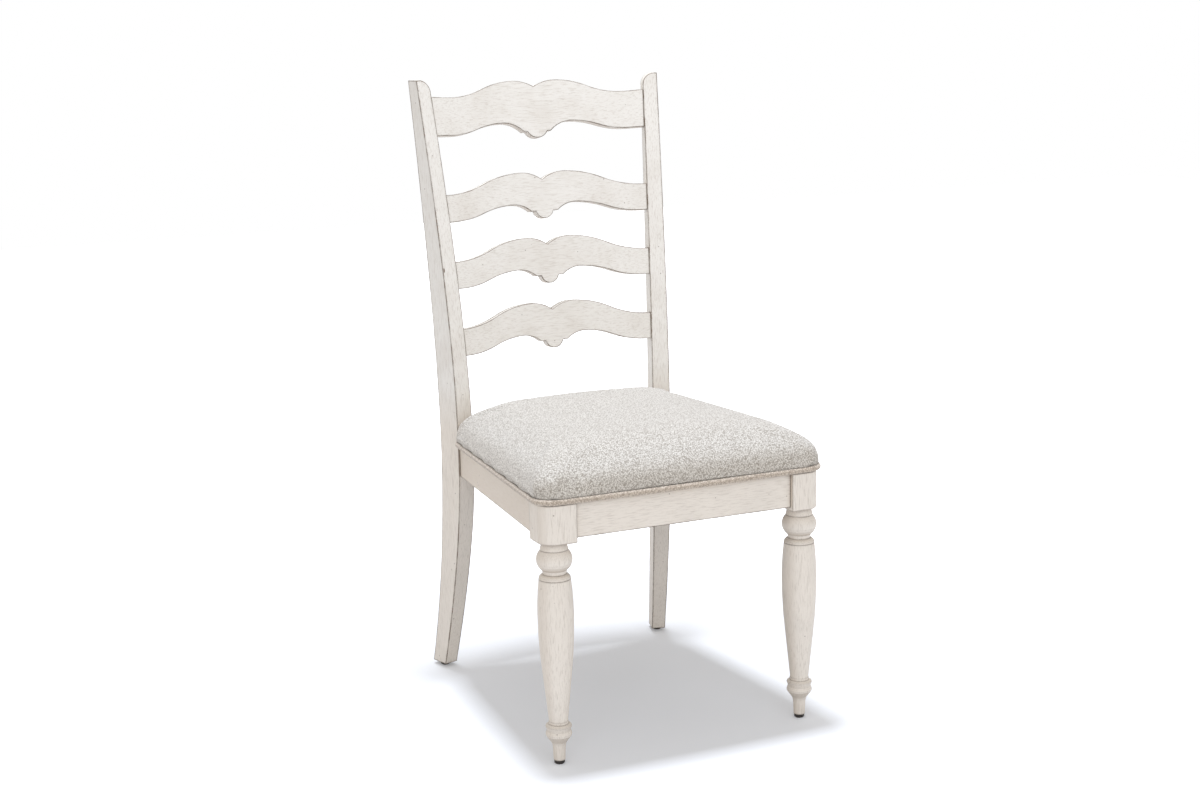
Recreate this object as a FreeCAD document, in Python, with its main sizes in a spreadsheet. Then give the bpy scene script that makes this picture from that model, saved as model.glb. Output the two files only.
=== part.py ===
# Ladderback dining chair: turned front legs, sawn rear posts, four scrolled slats
# Millimetres, +Z up. The sitter faces -Y, the rear posts stand at +Y.
# The origin is on the floor, under the middle of the chair.
import FreeCAD, Part
import math
import os
import re
import Sketcher

doc = FreeCAD.newDocument("LadderbackChair")
sizes = doc.addObject("Spreadsheet::Sheet", "Sizes")

# Driving sizes
DRIVING = (
    ("overall_height", 1080, "top of the rear posts above the floor"),
    ("front_leg_x", 223.5, "axis of a front leg from the middle"),
    ("front_leg_y", -277.2, "axis of a front leg"),
    ("rear_post_x", 196.5, "middle of a rear post from the middle of the chair"),
    ("rear_post_y", 183.8, "front face of a rear post at the seat"),
    ("post_toe_in", 16, "degrees that each rear post turns towards the sitter"),
    ("rail_bottom", 378, "underside of the seat rails"),
    ("rail_top", 435, "top of the seat rails and of the front leg blocks"),
    ("glide_height", 6.5, "plastic glide under each foot"),
    ("glide_diameter", 17.5, "plastic glide"),
    ("nail_diameter", 2.6, "nail of a glide"),
    ("nail_length", 14, "nail of a glide"),
    ("nail_clearance", 0.2, "hole around a nail"),
    ("leg_square", 57.5, "square block of a front leg"),
    ("block_bottom", 371, "underside of the square block"),
    ("block_round", 28, "radius of the block's outer front corner"),
    ("block_ease", 1.5, "eased lower arris of the block"),
    ("collar_diameter", 40, "turned collar under the block"),
    ("collar_end_diameter", 46, "collar where it meets the ball"),
    ("collar_length", 13.5, "turned collar under the block"),
    ("ball_diameter", 58.5, "turned ball"),
    ("ball_top", 15, "widest part of the ball below the collar"),
    ("ball_end", 17.5, "lower end of the ball below its widest part"),
    ("ball_end_diameter", 40.5, "lower end of the ball"),
    ("neck_diameter", 37.5, "neck under the ball"),
    ("neck_length", 6.5, "from the ball to the narrowest part of the neck"),
    ("shoulder_length", 7.5, "from the neck to the incised line on the shoulder"),
    ("shoulder_diameter", 52, "shoulder of the vase at that line"),
    ("line_depth", 0.7, "incised lines"),
    ("line_width", 1.4, "incised lines"),
    ("vase_diameter", 58.5, "widest part of the long vase turning"),
    ("vase_drop", 59, "that widest part below the shoulder's line"),
    ("flank_diameter", 46.5, "vase where its flank starts to round over"),
    ("flank_height", 149, "height where its flank starts to round over"),
    ("ankle_diameter", 31, "lower end of the vase"),
    ("ring_collar", 5.5, "collar above the rings"),
    ("ring_diameter", 43, "pair of rings above the foot"),
    ("ring_groove_depth", 2.2, "groove between the rings"),
    ("ring_groove", 57.8, "height of the groove between the rings"),
    ("ring_height", 10, "upper ring above the groove"),
    ("cup_height", 17.5, "lower ring with its tapered underside, below the groove"),
    ("cup_diameter", 30, "underside of the lower ring"),
    ("foot_diameter", 21, "turned foot at its top"),
    ("foot_end_diameter", 19, "turned foot at its glide"),
    ("foot_height", 28, "top of the tapered foot"),
    ("post_width", 33, "rear post at the seat, seen from its front"),
    ("post_top_width", 27, "rear post at its top"),
    ("post_foot_width", 25.5, "rear post at the floor"),
    ("post_top_splay", 2.5, "how far a post's top leans outwards"),
    ("taper_high", 460, "where a rear post starts to narrow upwards"),
    ("taper_low", 300, "where a rear post starts to narrow downwards"),
    ("post_depth", 53, "rear post at the seat, front to back"),
    ("post_top_depth", 25, "rear post at its top"),
    ("post_foot_depth", 37, "rear post at the floor"),
    ("top_rake", 86.6, "how far the top leans back behind the seat"),
    ("foot_rake", 72.5, "how far the foot stands back behind the seat"),
    ("knee_high", 440, "top of the upright stretch of a rear post"),
    ("knee_low", 390, "foot of the upright stretch of a rear post"),
    ("knee_back", 430, "where the back of a rear post is upright"),
    ("upper_pole", 654, "where the tangents of the front's upper sweep cross"),
    ("lower_pole", 250, "where the tangents of the front's lower sweep cross"),
    ("upper_back_pole", 645, "where the tangents of the back's upper sweep cross"),
    ("lower_back_pole", 215, "where the tangents of the back's lower sweep cross"),
    ("crown_flat", 9, "flat outer part of a post's top"),
    ("crown_drop", 24, "rounded inner shoulder of a post's top"),
    ("rail_thickness", 20, "seat rails"),
    ("rail_setback", 7, "rails behind the faces of the front leg blocks"),
    ("rail_inset", 3, "side rail inside the outer arris of its post"),
    ("rear_rail_setback", 0.5, "rear rail behind the inner front arrises of the posts"),
    ("dowel_diameter", 8, "beech dowels of the rail joints"),
    ("dowel_reach", 20, "how far a dowel goes into each side of its joint"),
    ("dowel_end_gap", 1, "room at the end of a dowel"),
    ("dowel_edge", 10, "dowel from the edges of the front and side rails"),
    ("rear_dowel_edge", 21, "dowel from the edges of the rear rail, to miss those of the side rails"),
    ("dowel_clearance", 0.1, "hole around a dowel"),
    ("slat_thickness", 18, "bent slats"),
    ("slat_setback", 2.5, "slat ends behind the faces of the posts"),
    ("slat_bow", 26, "how far the middle of a slat bends back"),
    ("lower_slat_z", 593, "lower corner of the lowest slat"),
    ("top_slat_drop", 97.5, "lower corner of the top slat below the tops of the posts"),
    ("middle_slat_share", 0.307, "second slat's place between the lowest and the top one"),
    ("upper_slat_share", 0.61, "third slat's place between the lowest and the top one"),
    ("end_rise", 48.5, "height of a slat at its ends"),
    ("top_end_rise", 69, "height of the top slat at its ends"),
    ("top_waist_rise", 68.3, "lowest spot of the top slat's upper edge"),
    ("top_waist_x", 170, "that spot from the middle"),
    ("hump_rise", 82.8, "two humps of a slat above its lower corner"),
    ("top_hump_rise", 96.5, "the same on the top slat"),
    ("hump_x", 40, "hump from the middle"),
    ("notch_rise", 68.6, "notch between the humps"),
    ("top_notch_rise", 85.5, "the same on the top slat"),
    ("arch_rise", 24.6, "two arches under a slat"),
    ("top_arch_rise", 20.1, "the same on the top slat"),
    ("arch_x", 59, "arch from the middle"),
    ("top_arch_x", 65, "the same on the top slat"),
    ("arch_foot", 8.7, "level stretch of a slat's lower edge at its ends"),
    ("top_arch_foot", 30, "the same on the top slat"),
    ("step_rise", 11.5, "small step beside the drop"),
    ("top_step_rise", 3.4, "the same on the top slat"),
    ("step_x", 26.5, "outer end of the small step"),
    ("drop_half_width", 17, "middle drop at the level of the step"),
    ("top_drop_half_width", 19.5, "the same on the top slat"),
    ("drop_depth", 2.3, "middle drop below the lower corner"),
    ("top_drop_depth", 8.3, "the same on the top slat"),
    ("tenon_thickness", 9, "slat tenons"),
    ("tenon_length", 14, "slat tenons"),
    ("tenon_root", 6, "how far a tenon is rooted in its slat"),
    ("tenon_shoulder", 8, "shoulders below and above a tenon"),
    ("tenon_clearance", 0.2, "mortise around a tenon"),
    ("seat_overhang", 13.5, "seat beyond the side rails"),
    ("seat_front_overhang", 8.7, "seat in front of the leg blocks"),
    ("seat_front_bow", 5.6, "bow of the seat's front edge"),
    ("seat_rear_reach", 22, "middle of the seat's rear edge behind the post faces"),
    ("seat_rear_bow", 33, "bow of the seat's rear edge"),
    ("seat_front_corner", 34, "front corner radius of the seat"),
    ("seat_rear_corner", 12, "rear corner radius of the seat"),
    ("board_thickness", 12, "plywood under the cushion"),
    ("board_inset", 11.6, "plywood inside the seat's edge"),
    ("welt_diameter", 11, "piping around the seat's edge"),
    ("soft_gap", 0.3, "soft pieces from their neighbours"),
    ("cover_thickness", 3, "seat fabric with its batting"),
    ("crown_height", 75, "top of the cushion above its seam"),
    ("crown_reach", 140, "how far in from the edge the crown levels out"),
    ("crown_tuck", 2.5, "cushion drawn in at its seam"),
    ("dust_cover_thickness", 0.8, "cloth under the board"),
    ("dust_cover_margin", 3, "cloth from the rails"),
    ("corner_block_height", 28, "corner blocks"),
    ("corner_block_drop", 3, "corner blocks below the top of the rails"),
    ("corner_block_reach", 78, "corner block along a rail"),
    ("corner_block_gap", 2, "corner block from the leg or post in its notch"),
    ("screw_diameter", 4, "wood screws"),
    ("screw_head_diameter", 8, "wood screws"),
    ("screw_head_height", 3, "wood screws"),
    ("screw_bite", 12, "screw into a rail"),
    ("board_screw_bite", 9, "screw into the seat board"),
    ("screw_grip", 14, "wood of a corner block under a screw's head"),
    ("screw_clearance", 0.3, "holes around the screws"),
)
for row, (alias, value, note) in enumerate(DRIVING, 1):
    sizes.set("A%d" % row, alias)
    sizes.set("B%d" % row, str(value))
    sizes.set("C%d" % row, note)
    sizes.setAlias("B%d" % row, alias)
doc.recompute()

NAMES = re.compile(r"\b(" + "|".join(alias for alias, value, note in DRIVING) + r")\b")


def formula(text):
    """Sizes named in the text, written as the objects of the document read them."""
    return NAMES.sub(r"Sizes.\1", str(text))


def size(text):
    """The value of a formula."""
    return float(sizes.evalExpression(formula(text)))


# Bodies, sketches and features
LEFT = -1
RIGHT = 1
SIDES = (("left", LEFT), ("right", RIGHT))
ENDS = (("front", -1), ("rear", 1))
PIN_SIDES = 8
GLIDE_SIDES = 24
WELT_SIDES = 10
CHORDS = 4
pieces = []


def new_body(label, placement=FreeCAD.Placement()):
    body = doc.addObject("PartDesign::Body", label)
    body.Label = label
    body.Placement = placement
    pieces.append(body)
    return body


def placed(x, y, z, turn=0, axis=(0, 0, 1)):
    spot = FreeCAD.Vector(size(x), size(y), size(z))
    return FreeCAD.Placement(spot, FreeCAD.Rotation(FreeCAD.Vector(*axis), turn))


def pointing(start, way):
    """A place whose Z axis looks along the given way."""
    return FreeCAD.Placement(start, FreeCAD.Rotation(FreeCAD.Vector(0, 0, 1), way))


def sketch_on(body, role, name, lift="0"):
    """A sketch on one of the body's own planes, lifted along the plane's normal."""
    sketch = body.newObject("Sketcher::SketchObject", name)
    plane = [item for item in body.Origin.OriginFeatures if item.Role == role][0]
    sketch.AttachmentSupport = [(plane, "")]
    sketch.MapMode = "FlatFace"
    sketch.setExpression("AttachmentOffset.Base.z", formula(lift))
    return sketch


def vector(spot):
    return FreeCAD.Vector(size(spot[0]), size(spot[1]), 0)


def pin(sketch, index, end, spot):
    """Hold one point of a sketch at a pair of formulas or of worked-out values."""
    for kind, text in zip(("DistanceX", "DistanceY"), spot):
        number = sketch.addConstraint(Sketcher.Constraint(kind, -1, 1, index, end, size(text)))
        if isinstance(text, str):
            sketch.setExpression("Constraints[%d]" % number, formula(text))


def outline(sketch, start, steps):
    """A closed outline. Each step is (end,) for a line, (middle, end) for an arc,
    or (pole, end, "bend") for a sweep that leaves and arrives along its pole."""
    here = start
    edges = []
    for step in steps:
        first = vector(here)
        here = step[min(len(step), 2) - 1]
        if len(step) == 1:
            index = sketch.addGeometry(Part.LineSegment(first, vector(here)), False)
        elif len(step) == 2:
            index = sketch.addGeometry(Part.Arc(first, vector(step[0]), vector(here)), False)
            middle = sketch.addGeometry(Part.Point(vector(step[0])), True)
            sketch.addConstraint(Sketcher.Constraint("PointOnObject", middle, 1, index))
            pin(sketch, middle, 1, step[0])
        else:
            curve = Part.BSplineCurve()
            poles = [first, vector(step[0]), vector(here)]
            curve.buildFromPolesMultsKnots(poles, [3, 3], [0, 1], False, 2)
            index = sketch.addGeometry(curve, False)
            sketch.exposeInternalGeometry(index)
            pin(sketch, index + 2, 3, step[0])
        backwards = (sketch.getPoint(index, 1) - first).Length > (sketch.getPoint(index, 2) - first).Length
        edges.append((index, 2 if backwards else 1, 1 if backwards else 2, here))
    for count, (index, tail, head, spot) in enumerate(edges):
        after = edges[(count + 1) % len(edges)]
        sketch.addConstraint(Sketcher.Constraint("Coincident", index, head, after[0], after[1]))
        pin(sketch, index, head, spot)
    return sketch


def polygon(sketch, corners):
    return outline(sketch, corners[-1], [(corner,) for corner in corners])


def extrude(body, sketch, length, both_ways=False):
    feature = body.newObject("PartDesign::Pad", sketch.Name + "_pad")
    feature.Profile = sketch
    feature.setExpression("Length", formula(length))
    if both_ways:
        feature.SideType = "Symmetric"
    doc.recompute()
    return feature


def cut_check(body, before, name):
    doc.recompute()
    if body.Shape.Volume > before - 0.1:
        raise RuntimeError(name + " cuts nothing")


def saw(body, sketch):
    """Saw away all that lies outside the outline in the sketch."""
    reach = "2*overall_height"
    away = "-2*overall_height"
    polygon(sketch, ((reach, away), (reach, reach), (away, reach), (away, away)))
    before = body.Shape.Volume
    feature = body.newObject("PartDesign::Pocket", sketch.Name + "_saw")
    feature.Profile = sketch
    feature.setExpression("Length", formula(reach))
    feature.SideType = "Symmetric"
    cut_check(body, before, sketch.Name)


def turn(body, sketch):
    """Turn the outline about the body's upright axis."""
    feature = body.newObject("PartDesign::Revolution", sketch.Name + "_turned")
    feature.Profile = sketch
    feature.ReferenceAxis = (sketch, ["V_Axis"])
    feature.Angle = 360
    doc.recompute()


def box(body, name, spans, place, kind="PartDesign::SubtractiveBox"):
    """A block with three (low, high) spans, cut from the body or added to it."""
    feature = body.newObject(kind, name)
    for side, (low, high) in zip(("Length", "Width", "Height"), spans):
        feature.setExpression(side, formula("(%s) - (%s)" % (high, low)))
    corner = FreeCAD.Placement(FreeCAD.Vector(*[size(low) for low, high in spans]), FreeCAD.Rotation())
    feature.Placement = body.Placement.inverse().multiply(place).multiply(corner)
    doc.recompute()
    return feature


def bore(body, name, diameter, length, place):
    """A hole along the Z axis of its place, with the sides of the pin that it takes."""
    before = body.Shape.Volume
    feature = body.newObject("PartDesign::SubtractivePrism", name)
    feature.Polygon = PIN_SIDES
    feature.setExpression("Circumradius", formula("(%s)/2" % diameter))
    feature.setExpression("Height", formula(length))
    feature.Placement = body.Placement.inverse().multiply(place)
    cut_check(body, before, name)


# Rear posts: how they sweep, taper and turn
def share_of_sweep(z, knee, pole, end):
    """How far along its sweep a post is at height z, from 0 at the knee to 1 at the end."""
    first = 2 * (size(pole) - size(knee))
    second = size(knee) - 2 * size(pole) + size(end)
    root = math.sqrt(first ** 2 + 4 * second * (z - size(knee)))
    return 2 * (z - size(knee)) / (first + math.copysign(root, first))


def post_front(z):
    """The post's front face behind its upright stretch, at height z."""
    if z > size("knee_high"):
        return size("top_rake") * share_of_sweep(z, "knee_high", "upper_pole", "overall_height") ** 2
    if z < size("knee_low"):
        return size("foot_rake") * share_of_sweep(z, "knee_low", "lower_pole", "0") ** 2
    return 0.0


POST_LEAN = math.atan2(size("(post_width - post_top_width)/2 + post_top_splay"),
                       size("overall_height - taper_high"))


def inner_face(z):
    """How far the post's inner face is from the post's axis at height z, above the seat."""
    return size("post_width/2") - max(0.0, z - size("taper_high")) * math.tan(POST_LEAN)


def post_place(side):
    """A rear post's own frame: X across it, Y towards its back."""
    return placed("%d*rear_post_x" % side, "rear_post_y", "0", -side * size("post_toe_in"))


def on_post(side, outwards, back, z=0.0):
    """A point in the chair, from its place on a rear post."""
    return post_place(side).multVec(FreeCAD.Vector(side * outwards, back, z))


def foot_middle(side):
    z = size("glide_height")
    return on_post(side, 0, post_front(z) + size("post_foot_depth/2"), z)


# Seat frame in plan: the lines that rails, blocks and seat share
TOE_IN = math.radians(size("post_toe_in"))
BLOCK_BACK_Y = size("front_leg_y + leg_square/2")
BLOCK_INNER_X = size("front_leg_x - leg_square/2")
RAIL_FRONT_X = size("front_leg_x + leg_square/2 - rail_setback")
RAIL_REAR = on_post(RIGHT, size("post_width/2 - rail_inset"), 0)
SPLAY = math.atan2(RAIL_FRONT_X - RAIL_REAR.x, RAIL_REAR.y - BLOCK_BACK_Y)
FRONT_RAIL_Y = size("front_leg_y - leg_square/2 + rail_setback")
FRONT_RAIL_BACK_Y = FRONT_RAIL_Y + size("rail_thickness")
POST_INNER = on_post(RIGHT, -size("post_width/2"), 0)
REAR_RAIL_Y = POST_INNER.y + size("rear_rail_setback")
REAR_RAIL_BACK_Y = REAR_RAIL_Y + size("rail_thickness")


def side_rail_x(y, depth=0.0):
    """The right side rail's outer face at y, or a line that lies deeper by the given depth."""
    return RAIL_FRONT_X - (y - BLOCK_BACK_Y) * math.tan(SPLAY) - depth / math.cos(SPLAY)


def meets_post(depth):
    """Where such a line of the right side rail meets the front face of its post."""
    base = post_place(RIGHT).Base
    outwards = side_rail_x(base.y, depth) - base.x
    outwards /= math.cos(TOE_IN) - math.tan(SPLAY) * math.sin(TOE_IN)
    return on_post(RIGHT, outwards, 0)


def rear_rail_x(y):
    """The inner face of the right rear post at y, at the height of the rails."""
    return POST_INNER.x + (y - POST_INNER.y) * math.tan(TOE_IN)


def rail_joints(word, side):
    """Each rail joint of one side: name, the two pieces, middle in plan, way, edge distance."""
    half = size("rail_thickness/2")
    leg = "front_leg_" + word
    post = "rear_post_" + word
    rail = "side_rail_" + word
    along = FreeCAD.Vector(-side * math.sin(SPLAY), math.cos(SPLAY), 0)
    across = FreeCAD.Vector(side, 0, 0)
    front = FreeCAD.Vector(side * BLOCK_INNER_X, FRONT_RAIL_Y + half, 0)
    knee = FreeCAD.Vector(side * side_rail_x(BLOCK_BACK_Y, half), BLOCK_BACK_Y, 0)
    hip = meets_post(half)
    rear = FreeCAD.Vector(side * rear_rail_x(REAR_RAIL_Y + half), REAR_RAIL_Y + half, 0)
    return (
        ("front", (leg, "front_rail"), front, across, "dowel_edge"),
        ("knee", (leg, rail), knee, along, "dowel_edge"),
        ("hip", (post, rail), FreeCAD.Vector(side * hip.x, hip.y, 0), along, "dowel_edge"),
        ("rear", (post, "rear_rail"), rear, across, "rear_dowel_edge"),
    )


def dowel_places():
    """Every dowel as (name, its two pieces, its middle, its way)."""
    for word, side in SIDES:
        for joint, owners, middle, way, edge in rail_joints(word, side):
            for level, height in (("low", "rail_bottom + " + edge), ("high", "rail_top - " + edge)):
                spot = FreeCAD.Vector(middle.x, middle.y, size(height))
                yield "%s_%s_%s" % (joint, word, level), owners, spot, way


def bore_dowels(body):
    half = "(dowel_reach + dowel_end_gap)"
    for name, owners, middle, way in dowel_places():
        if body.Label in owners:
            bore(body, "%s_hole_%s" % (body.Label, name), "dowel_diameter + 2*dowel_clearance",
                 "2*" + half, pointing(middle - way * size(half), way))


def bore_nail(body, middle):
    start = FreeCAD.Vector(middle.x, middle.y, size("glide_height - nail_clearance"))
    bore(body, body.Label + "_nail_hole", "nail_diameter + 2*nail_clearance",
         "nail_length + 2*nail_clearance", pointing(start, FreeCAD.Vector(0, 0, 1)))


# Front legs: a square block with a rounded outer corner over a vase turning
def front_leg(word, side):
    body = new_body("front_leg_" + word, placed("%d*front_leg_x" % side, "front_leg_y", "0"))
    block = sketch_on(body, "XY_Plane", "block_" + word, "block_bottom")
    outer = "%d*leg_square/2" % side
    inner = "%d*leg_square/2" % -side
    middle = "(leg_square/2 - block_round + block_round*cos(45))"
    outline(block, (inner, "-leg_square/2"), [
        (("%d*(leg_square/2 - block_round)" % side, "-leg_square/2"),),
        (("%d*%s" % (side, middle), "-" + middle), (outer, "block_round - leg_square/2")),
        ((outer, "leg_square/2"),),
        ((inner, "leg_square/2"),),
        ((inner, "-leg_square/2"),),
    ])
    square = extrude(body, block, "rail_top - block_bottom")
    lower = ["Edge%d" % number for number, edge in enumerate(square.Shape.Edges, 1)
             if edge.BoundBox.ZMax < size("block_bottom") + 0.01]
    ease = body.newObject("PartDesign::Chamfer", "ease_" + word)
    ease.Base = (square, lower)
    ease.setExpression("Size", formula("block_ease"))
    doc.recompute()
    turn(body, leg_profile(sketch_on(body, "XZ_Plane", "turning_" + word)))
    bore_dowels(body)
    bore_nail(body, body.Placement.Base)


def between(low, high, share):
    return "(%s*(%s) + %s*(%s))" % (1 - share, low, share, high)


def rounded(widest, end, sweep, count):
    """Short straight cuts along a curve from the spot where it is upright to its end."""
    cuts = []
    for number in range(1, count + 1):
        angle = math.radians(sweep * number / count)
        slow = (1 - math.cos(angle)) / (1 - math.cos(math.radians(sweep)))
        fast = math.sin(angle) / math.sin(math.radians(sweep))
        cuts.append((between(widest[0], end[0], slow), between(widest[1], end[1], fast)))
    return cuts


def leg_profile(sketch):
    """The turning, from the foot up through rings, vase, neck and ball to the collar."""
    foot = "foot_diameter/2"
    cup = "cup_diameter/2"
    ring = "ring_diameter/2"
    groove = ring + " - ring_groove_depth"
    ankle = "ankle_diameter/2"
    flank = "flank_diameter/2"
    vase = "vase_diameter/2"
    shoulder = "shoulder_diameter/2"
    neck = "neck_diameter/2"
    ball = "ball_diameter/2"
    ball_foot = "ball_end_diameter/2"
    collar = "collar_end_diameter/2"
    cup_z = "(ring_groove - cup_height)"
    ring_z = "(ring_groove + ring_height)"
    ankle_z = "(ring_groove + ring_height + ring_collar)"
    line_z = "(block_bottom - collar_length)"
    ball_z = "(block_bottom - collar_length - ball_top)"
    ball_foot_z = "(block_bottom - collar_length - ball_top - ball_end)"
    neck_z = "(block_bottom - collar_length - ball_top - ball_end - neck_length)"
    shoulder_z = "(block_bottom - collar_length - ball_top - ball_end - neck_length - shoulder_length)"
    vase_z = "(%s - vase_drop)" % shoulder_z
    corners = [("0", "glide_height"), ("foot_end_diameter/2", "glide_height"), (foot, "foot_height")]
    corners += rounded((foot, "foot_height"), (cup, cup_z), 50, 3)
    corners += [
        (cup + " + line_depth", cup_z + " + line_depth"),
        (ring + " - line_depth", "ring_groove - 0.55*cup_height"),
        (ring, "ring_groove - 0.4*cup_height"),
        (ring + " - line_depth", "ring_groove - 0.2*cup_height"),
        (groove, "ring_groove - line_width/2"),
        (groove, "ring_groove + line_width/2"),
        (ring + " - line_depth", "ring_groove + 0.45*ring_height"),
        (ring, "ring_groove + 0.65*ring_height"),
        (ring + " - line_depth", "ring_groove + 0.8*ring_height"),
        (between(ring, ankle, 0.6), ring_z),
        (ankle + " + line_depth", ring_z + " + line_depth"),
        (ankle + " + line_depth", ankle_z + " - line_width"),
        (ankle, ankle_z),
        (flank, "flank_height"),
    ]
    corners += rounded((vase, vase_z), (flank, "flank_height"), 20, 3)[-2::-1]
    corners += [(vase, vase_z)]
    corners += rounded((vase, vase_z), (shoulder, shoulder_z + " - line_width"), 20, 3)
    corners += [(shoulder + " - line_depth", shoulder_z + " - line_width/2"), (shoulder, shoulder_z)]
    corners += rounded((shoulder, shoulder_z), (neck, neck_z), 70, 3)
    corners += [(ball_foot, ball_foot_z)]
    corners += rounded((ball, ball_z), (ball_foot, ball_foot_z), 55, 4)[-2::-1]
    corners += [(ball, ball_z)]
    corners += rounded((ball, ball_z), (collar, line_z), 45, 4)
    corners += [
        (collar + " - line_depth", line_z + " + line_width/2"),
        (collar, line_z + " + line_width"),
        ("collar_diameter/2", "block_bottom"),
        ("collar_diameter/2", "block_bottom + block_ease"),
        ("0", "block_bottom + block_ease"),
    ]
    return polygon(sketch, corners)


# Rear posts: sawn in two views from one plank, with a mortise for each slat
def rear_post(word, side):
    body = new_body("rear_post_" + word, post_place(side))
    front_view = sketch_on(body, "XZ_Plane", "post_front_" + word)
    outer = "(post_top_width/2 + post_top_splay)"
    shoulder = "(post_top_width - crown_flat)"
    outline(front_view, ("%d*post_width/2" % side, "taper_high"), [
        (("%d*%s" % (side, outer), "overall_height"),),
        (("%d*(%s - crown_flat)" % (side, outer), "overall_height"),),
        (("%d*(%s - crown_flat - %s*sin(45))" % (side, outer, shoulder),
          "overall_height - crown_drop*(1 - cos(45))"),
         ("%d*(%s - post_top_width)" % (side, outer), "overall_height - crown_drop")),
        (("%d*post_width/2" % -side, "taper_high"),),
        (("%d*post_width/2" % -side, "taper_low"),),
        (("%d*post_foot_width/2" % -side, "glide_height"),),
        (("%d*post_foot_width/2" % side, "glide_height"),),
        (("%d*post_width/2" % side, "taper_low"),),
        (("%d*post_width/2" % side, "taper_high"),),
    ])
    extrude(body, front_view, "2*overall_height", True)
    side_view = sketch_on(body, "YZ_Plane", "post_side_" + word)
    outline(side_view, ("0", "knee_low"), [
        (("0", "knee_high"),),
        (("0", "upper_pole"), ("top_rake", "overall_height"), "bend"),
        (("top_rake + post_top_depth", "overall_height"),),
        (("post_depth", "upper_back_pole"), ("post_depth", "knee_back"), "bend"),
        (("post_depth", "lower_back_pole"), ("foot_rake + post_foot_depth", "0"), "bend"),
        (("foot_rake", "0"),),
        (("0", "lower_pole"), ("0", "knee_low"), "bend"),
    ])
    saw(body, side_view)
    for slat in SLATS:
        before = body.Shape.Volume
        box(body, "mortise_%s_%s" % (slat, word), tenon_spans(slat, side, "tenon_clearance"),
            joint_place(slat, side))
        cut_check(body, before, "mortise for " + slat)
    bore_dowels(body)
    bore_nail(body, foot_middle(side))


# Slats: bent to a bow, sawn to a scrolled outline and leaning with the posts.
# Each has the height of its lower corner and the prefix of its own sizes.
SLAT_STEP = "(overall_height - top_slat_drop - lower_slat_z)"
SLATS = {
    "lower_slat": ("lower_slat_z", ""),
    "middle_slat": ("(lower_slat_z + middle_slat_share*%s)" % SLAT_STEP, ""),
    "upper_slat": ("(lower_slat_z + upper_slat_share*%s)" % SLAT_STEP, ""),
    "top_slat": ("(overall_height - top_slat_drop)", "top_"),
}


def slat_corner(z):
    """The slat's front arris at the right post, at height z."""
    return on_post(RIGHT, -inner_face(z), post_front(z) + size("slat_setback"), z)


def low_corner(slat):
    return slat_corner(size(SLATS[slat][0]))


def slat_place(slat):
    """A slat's own frame: level with its lower corners, Z leaning with its ends."""
    height, prefix = SLATS[slat]
    low = low_corner(slat)
    high = slat_corner(size("%s + %send_rise" % (height, prefix)))
    lean = math.degrees(math.atan2(high.y - low.y, high.z - low.z))
    return placed(0, low.y, low.z, -lean, (1, 0, 0))


def joint_place(slat, side):
    """The middle of a slat's end, on the post's inner face and leaning with the post."""
    height, prefix = SLATS[slat]
    half = size(prefix + "end_rise/2")
    z = size(height) + half
    rake = math.degrees(math.atan2(post_front(z + half) - post_front(z - half), 2 * half))
    back = post_front(z) + size("slat_setback + slat_thickness/2")
    middle = FreeCAD.Vector(-side * inner_face(z), back, z)
    leaning = FreeCAD.Placement(middle, FreeCAD.Rotation(FreeCAD.Vector(1, 0, 0), -rake))
    return post_place(side).multiply(leaning)


def tenon_spans(slat, side, spare="0"):
    """A tenon's spans across, through and up its joint, or those of its mortise with spare room."""
    bite = "tenon_length + 4*" + spare
    across = ("-(%s)" % bite, "tenon_root") if side == LEFT else ("-tenon_root", bite)
    thick = "tenon_thickness/2 + " + spare
    tall = "%send_rise/2 - tenon_shoulder + %s" % (SLATS[slat][1], spare)
    return across, ("-(%s)" % thick, thick), ("-(%s)" % tall, tall)


def rise(start, end):
    """An edge that leaves start level, swings over halfway and comes in level at the end."""
    middle = (between(start[0], end[0], 0.5), between(start[1], end[1], 0.5))
    return [
        ((between(start[0], end[0], 0.25), between(start[1], end[1], 0.125)), middle),
        ((between(start[0], end[0], 0.75), between(start[1], end[1], 0.875)), end),
    ]


def curl(level, end):
    """A single arc between a spot where it is level and another spot."""
    return (between(level[0], end[0], 0.5), between(level[1], end[1], 0.25))


def mirrored(start, steps):
    """The steps from start, walked backwards on the other side of the middle."""
    spots = [start] + [step[-1] for step in steps]
    flipped = []
    for number in range(len(steps) - 1, -1, -1):
        walk = list(steps[number][:-1]) + [spots[number]]
        flipped.append(tuple(("-(%s)" % x, z) for x, z in walk))
    return flipped


def scroll(sketch, slat):
    """Two humps with a notch between them, over two arches with a drop between them."""
    prefix = SLATS[slat][1]
    end_x = str(low_corner(slat).x)
    past_end_x = end_x + " + 1.5*tenon_length"
    end = prefix + "end_rise"
    step = prefix + "step_rise"
    hump = ("hump_x", prefix + "hump_rise")
    notch = ("0", prefix + "notch_rise")
    arch = (prefix + "arch_x", prefix + "arch_rise")
    foot = ("%s - %sarch_foot" % (end_x, prefix), "0")
    drop_side = (prefix + "drop_half_width", step)
    step_end = ("step_x", step)
    half = [(step_end,), (curl(arch, step_end), arch)]
    half += rise(arch, foot)
    half += [((past_end_x, "0"),), ((past_end_x, end),), ((end_x, end),)]
    if prefix:
        waist = ("top_waist_x", "top_waist_rise")
        half += [(curl(waist, (end_x, end)), waist)]
        half += rise(waist, hump)
    else:
        half += rise((end_x, end), hump)
    half += [(curl(hump, notch), notch)]
    drop = (("0", "-%sdrop_depth" % prefix), drop_side)
    outline(sketch, drop_side, half + mirrored(drop_side, half) + [drop])


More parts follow.
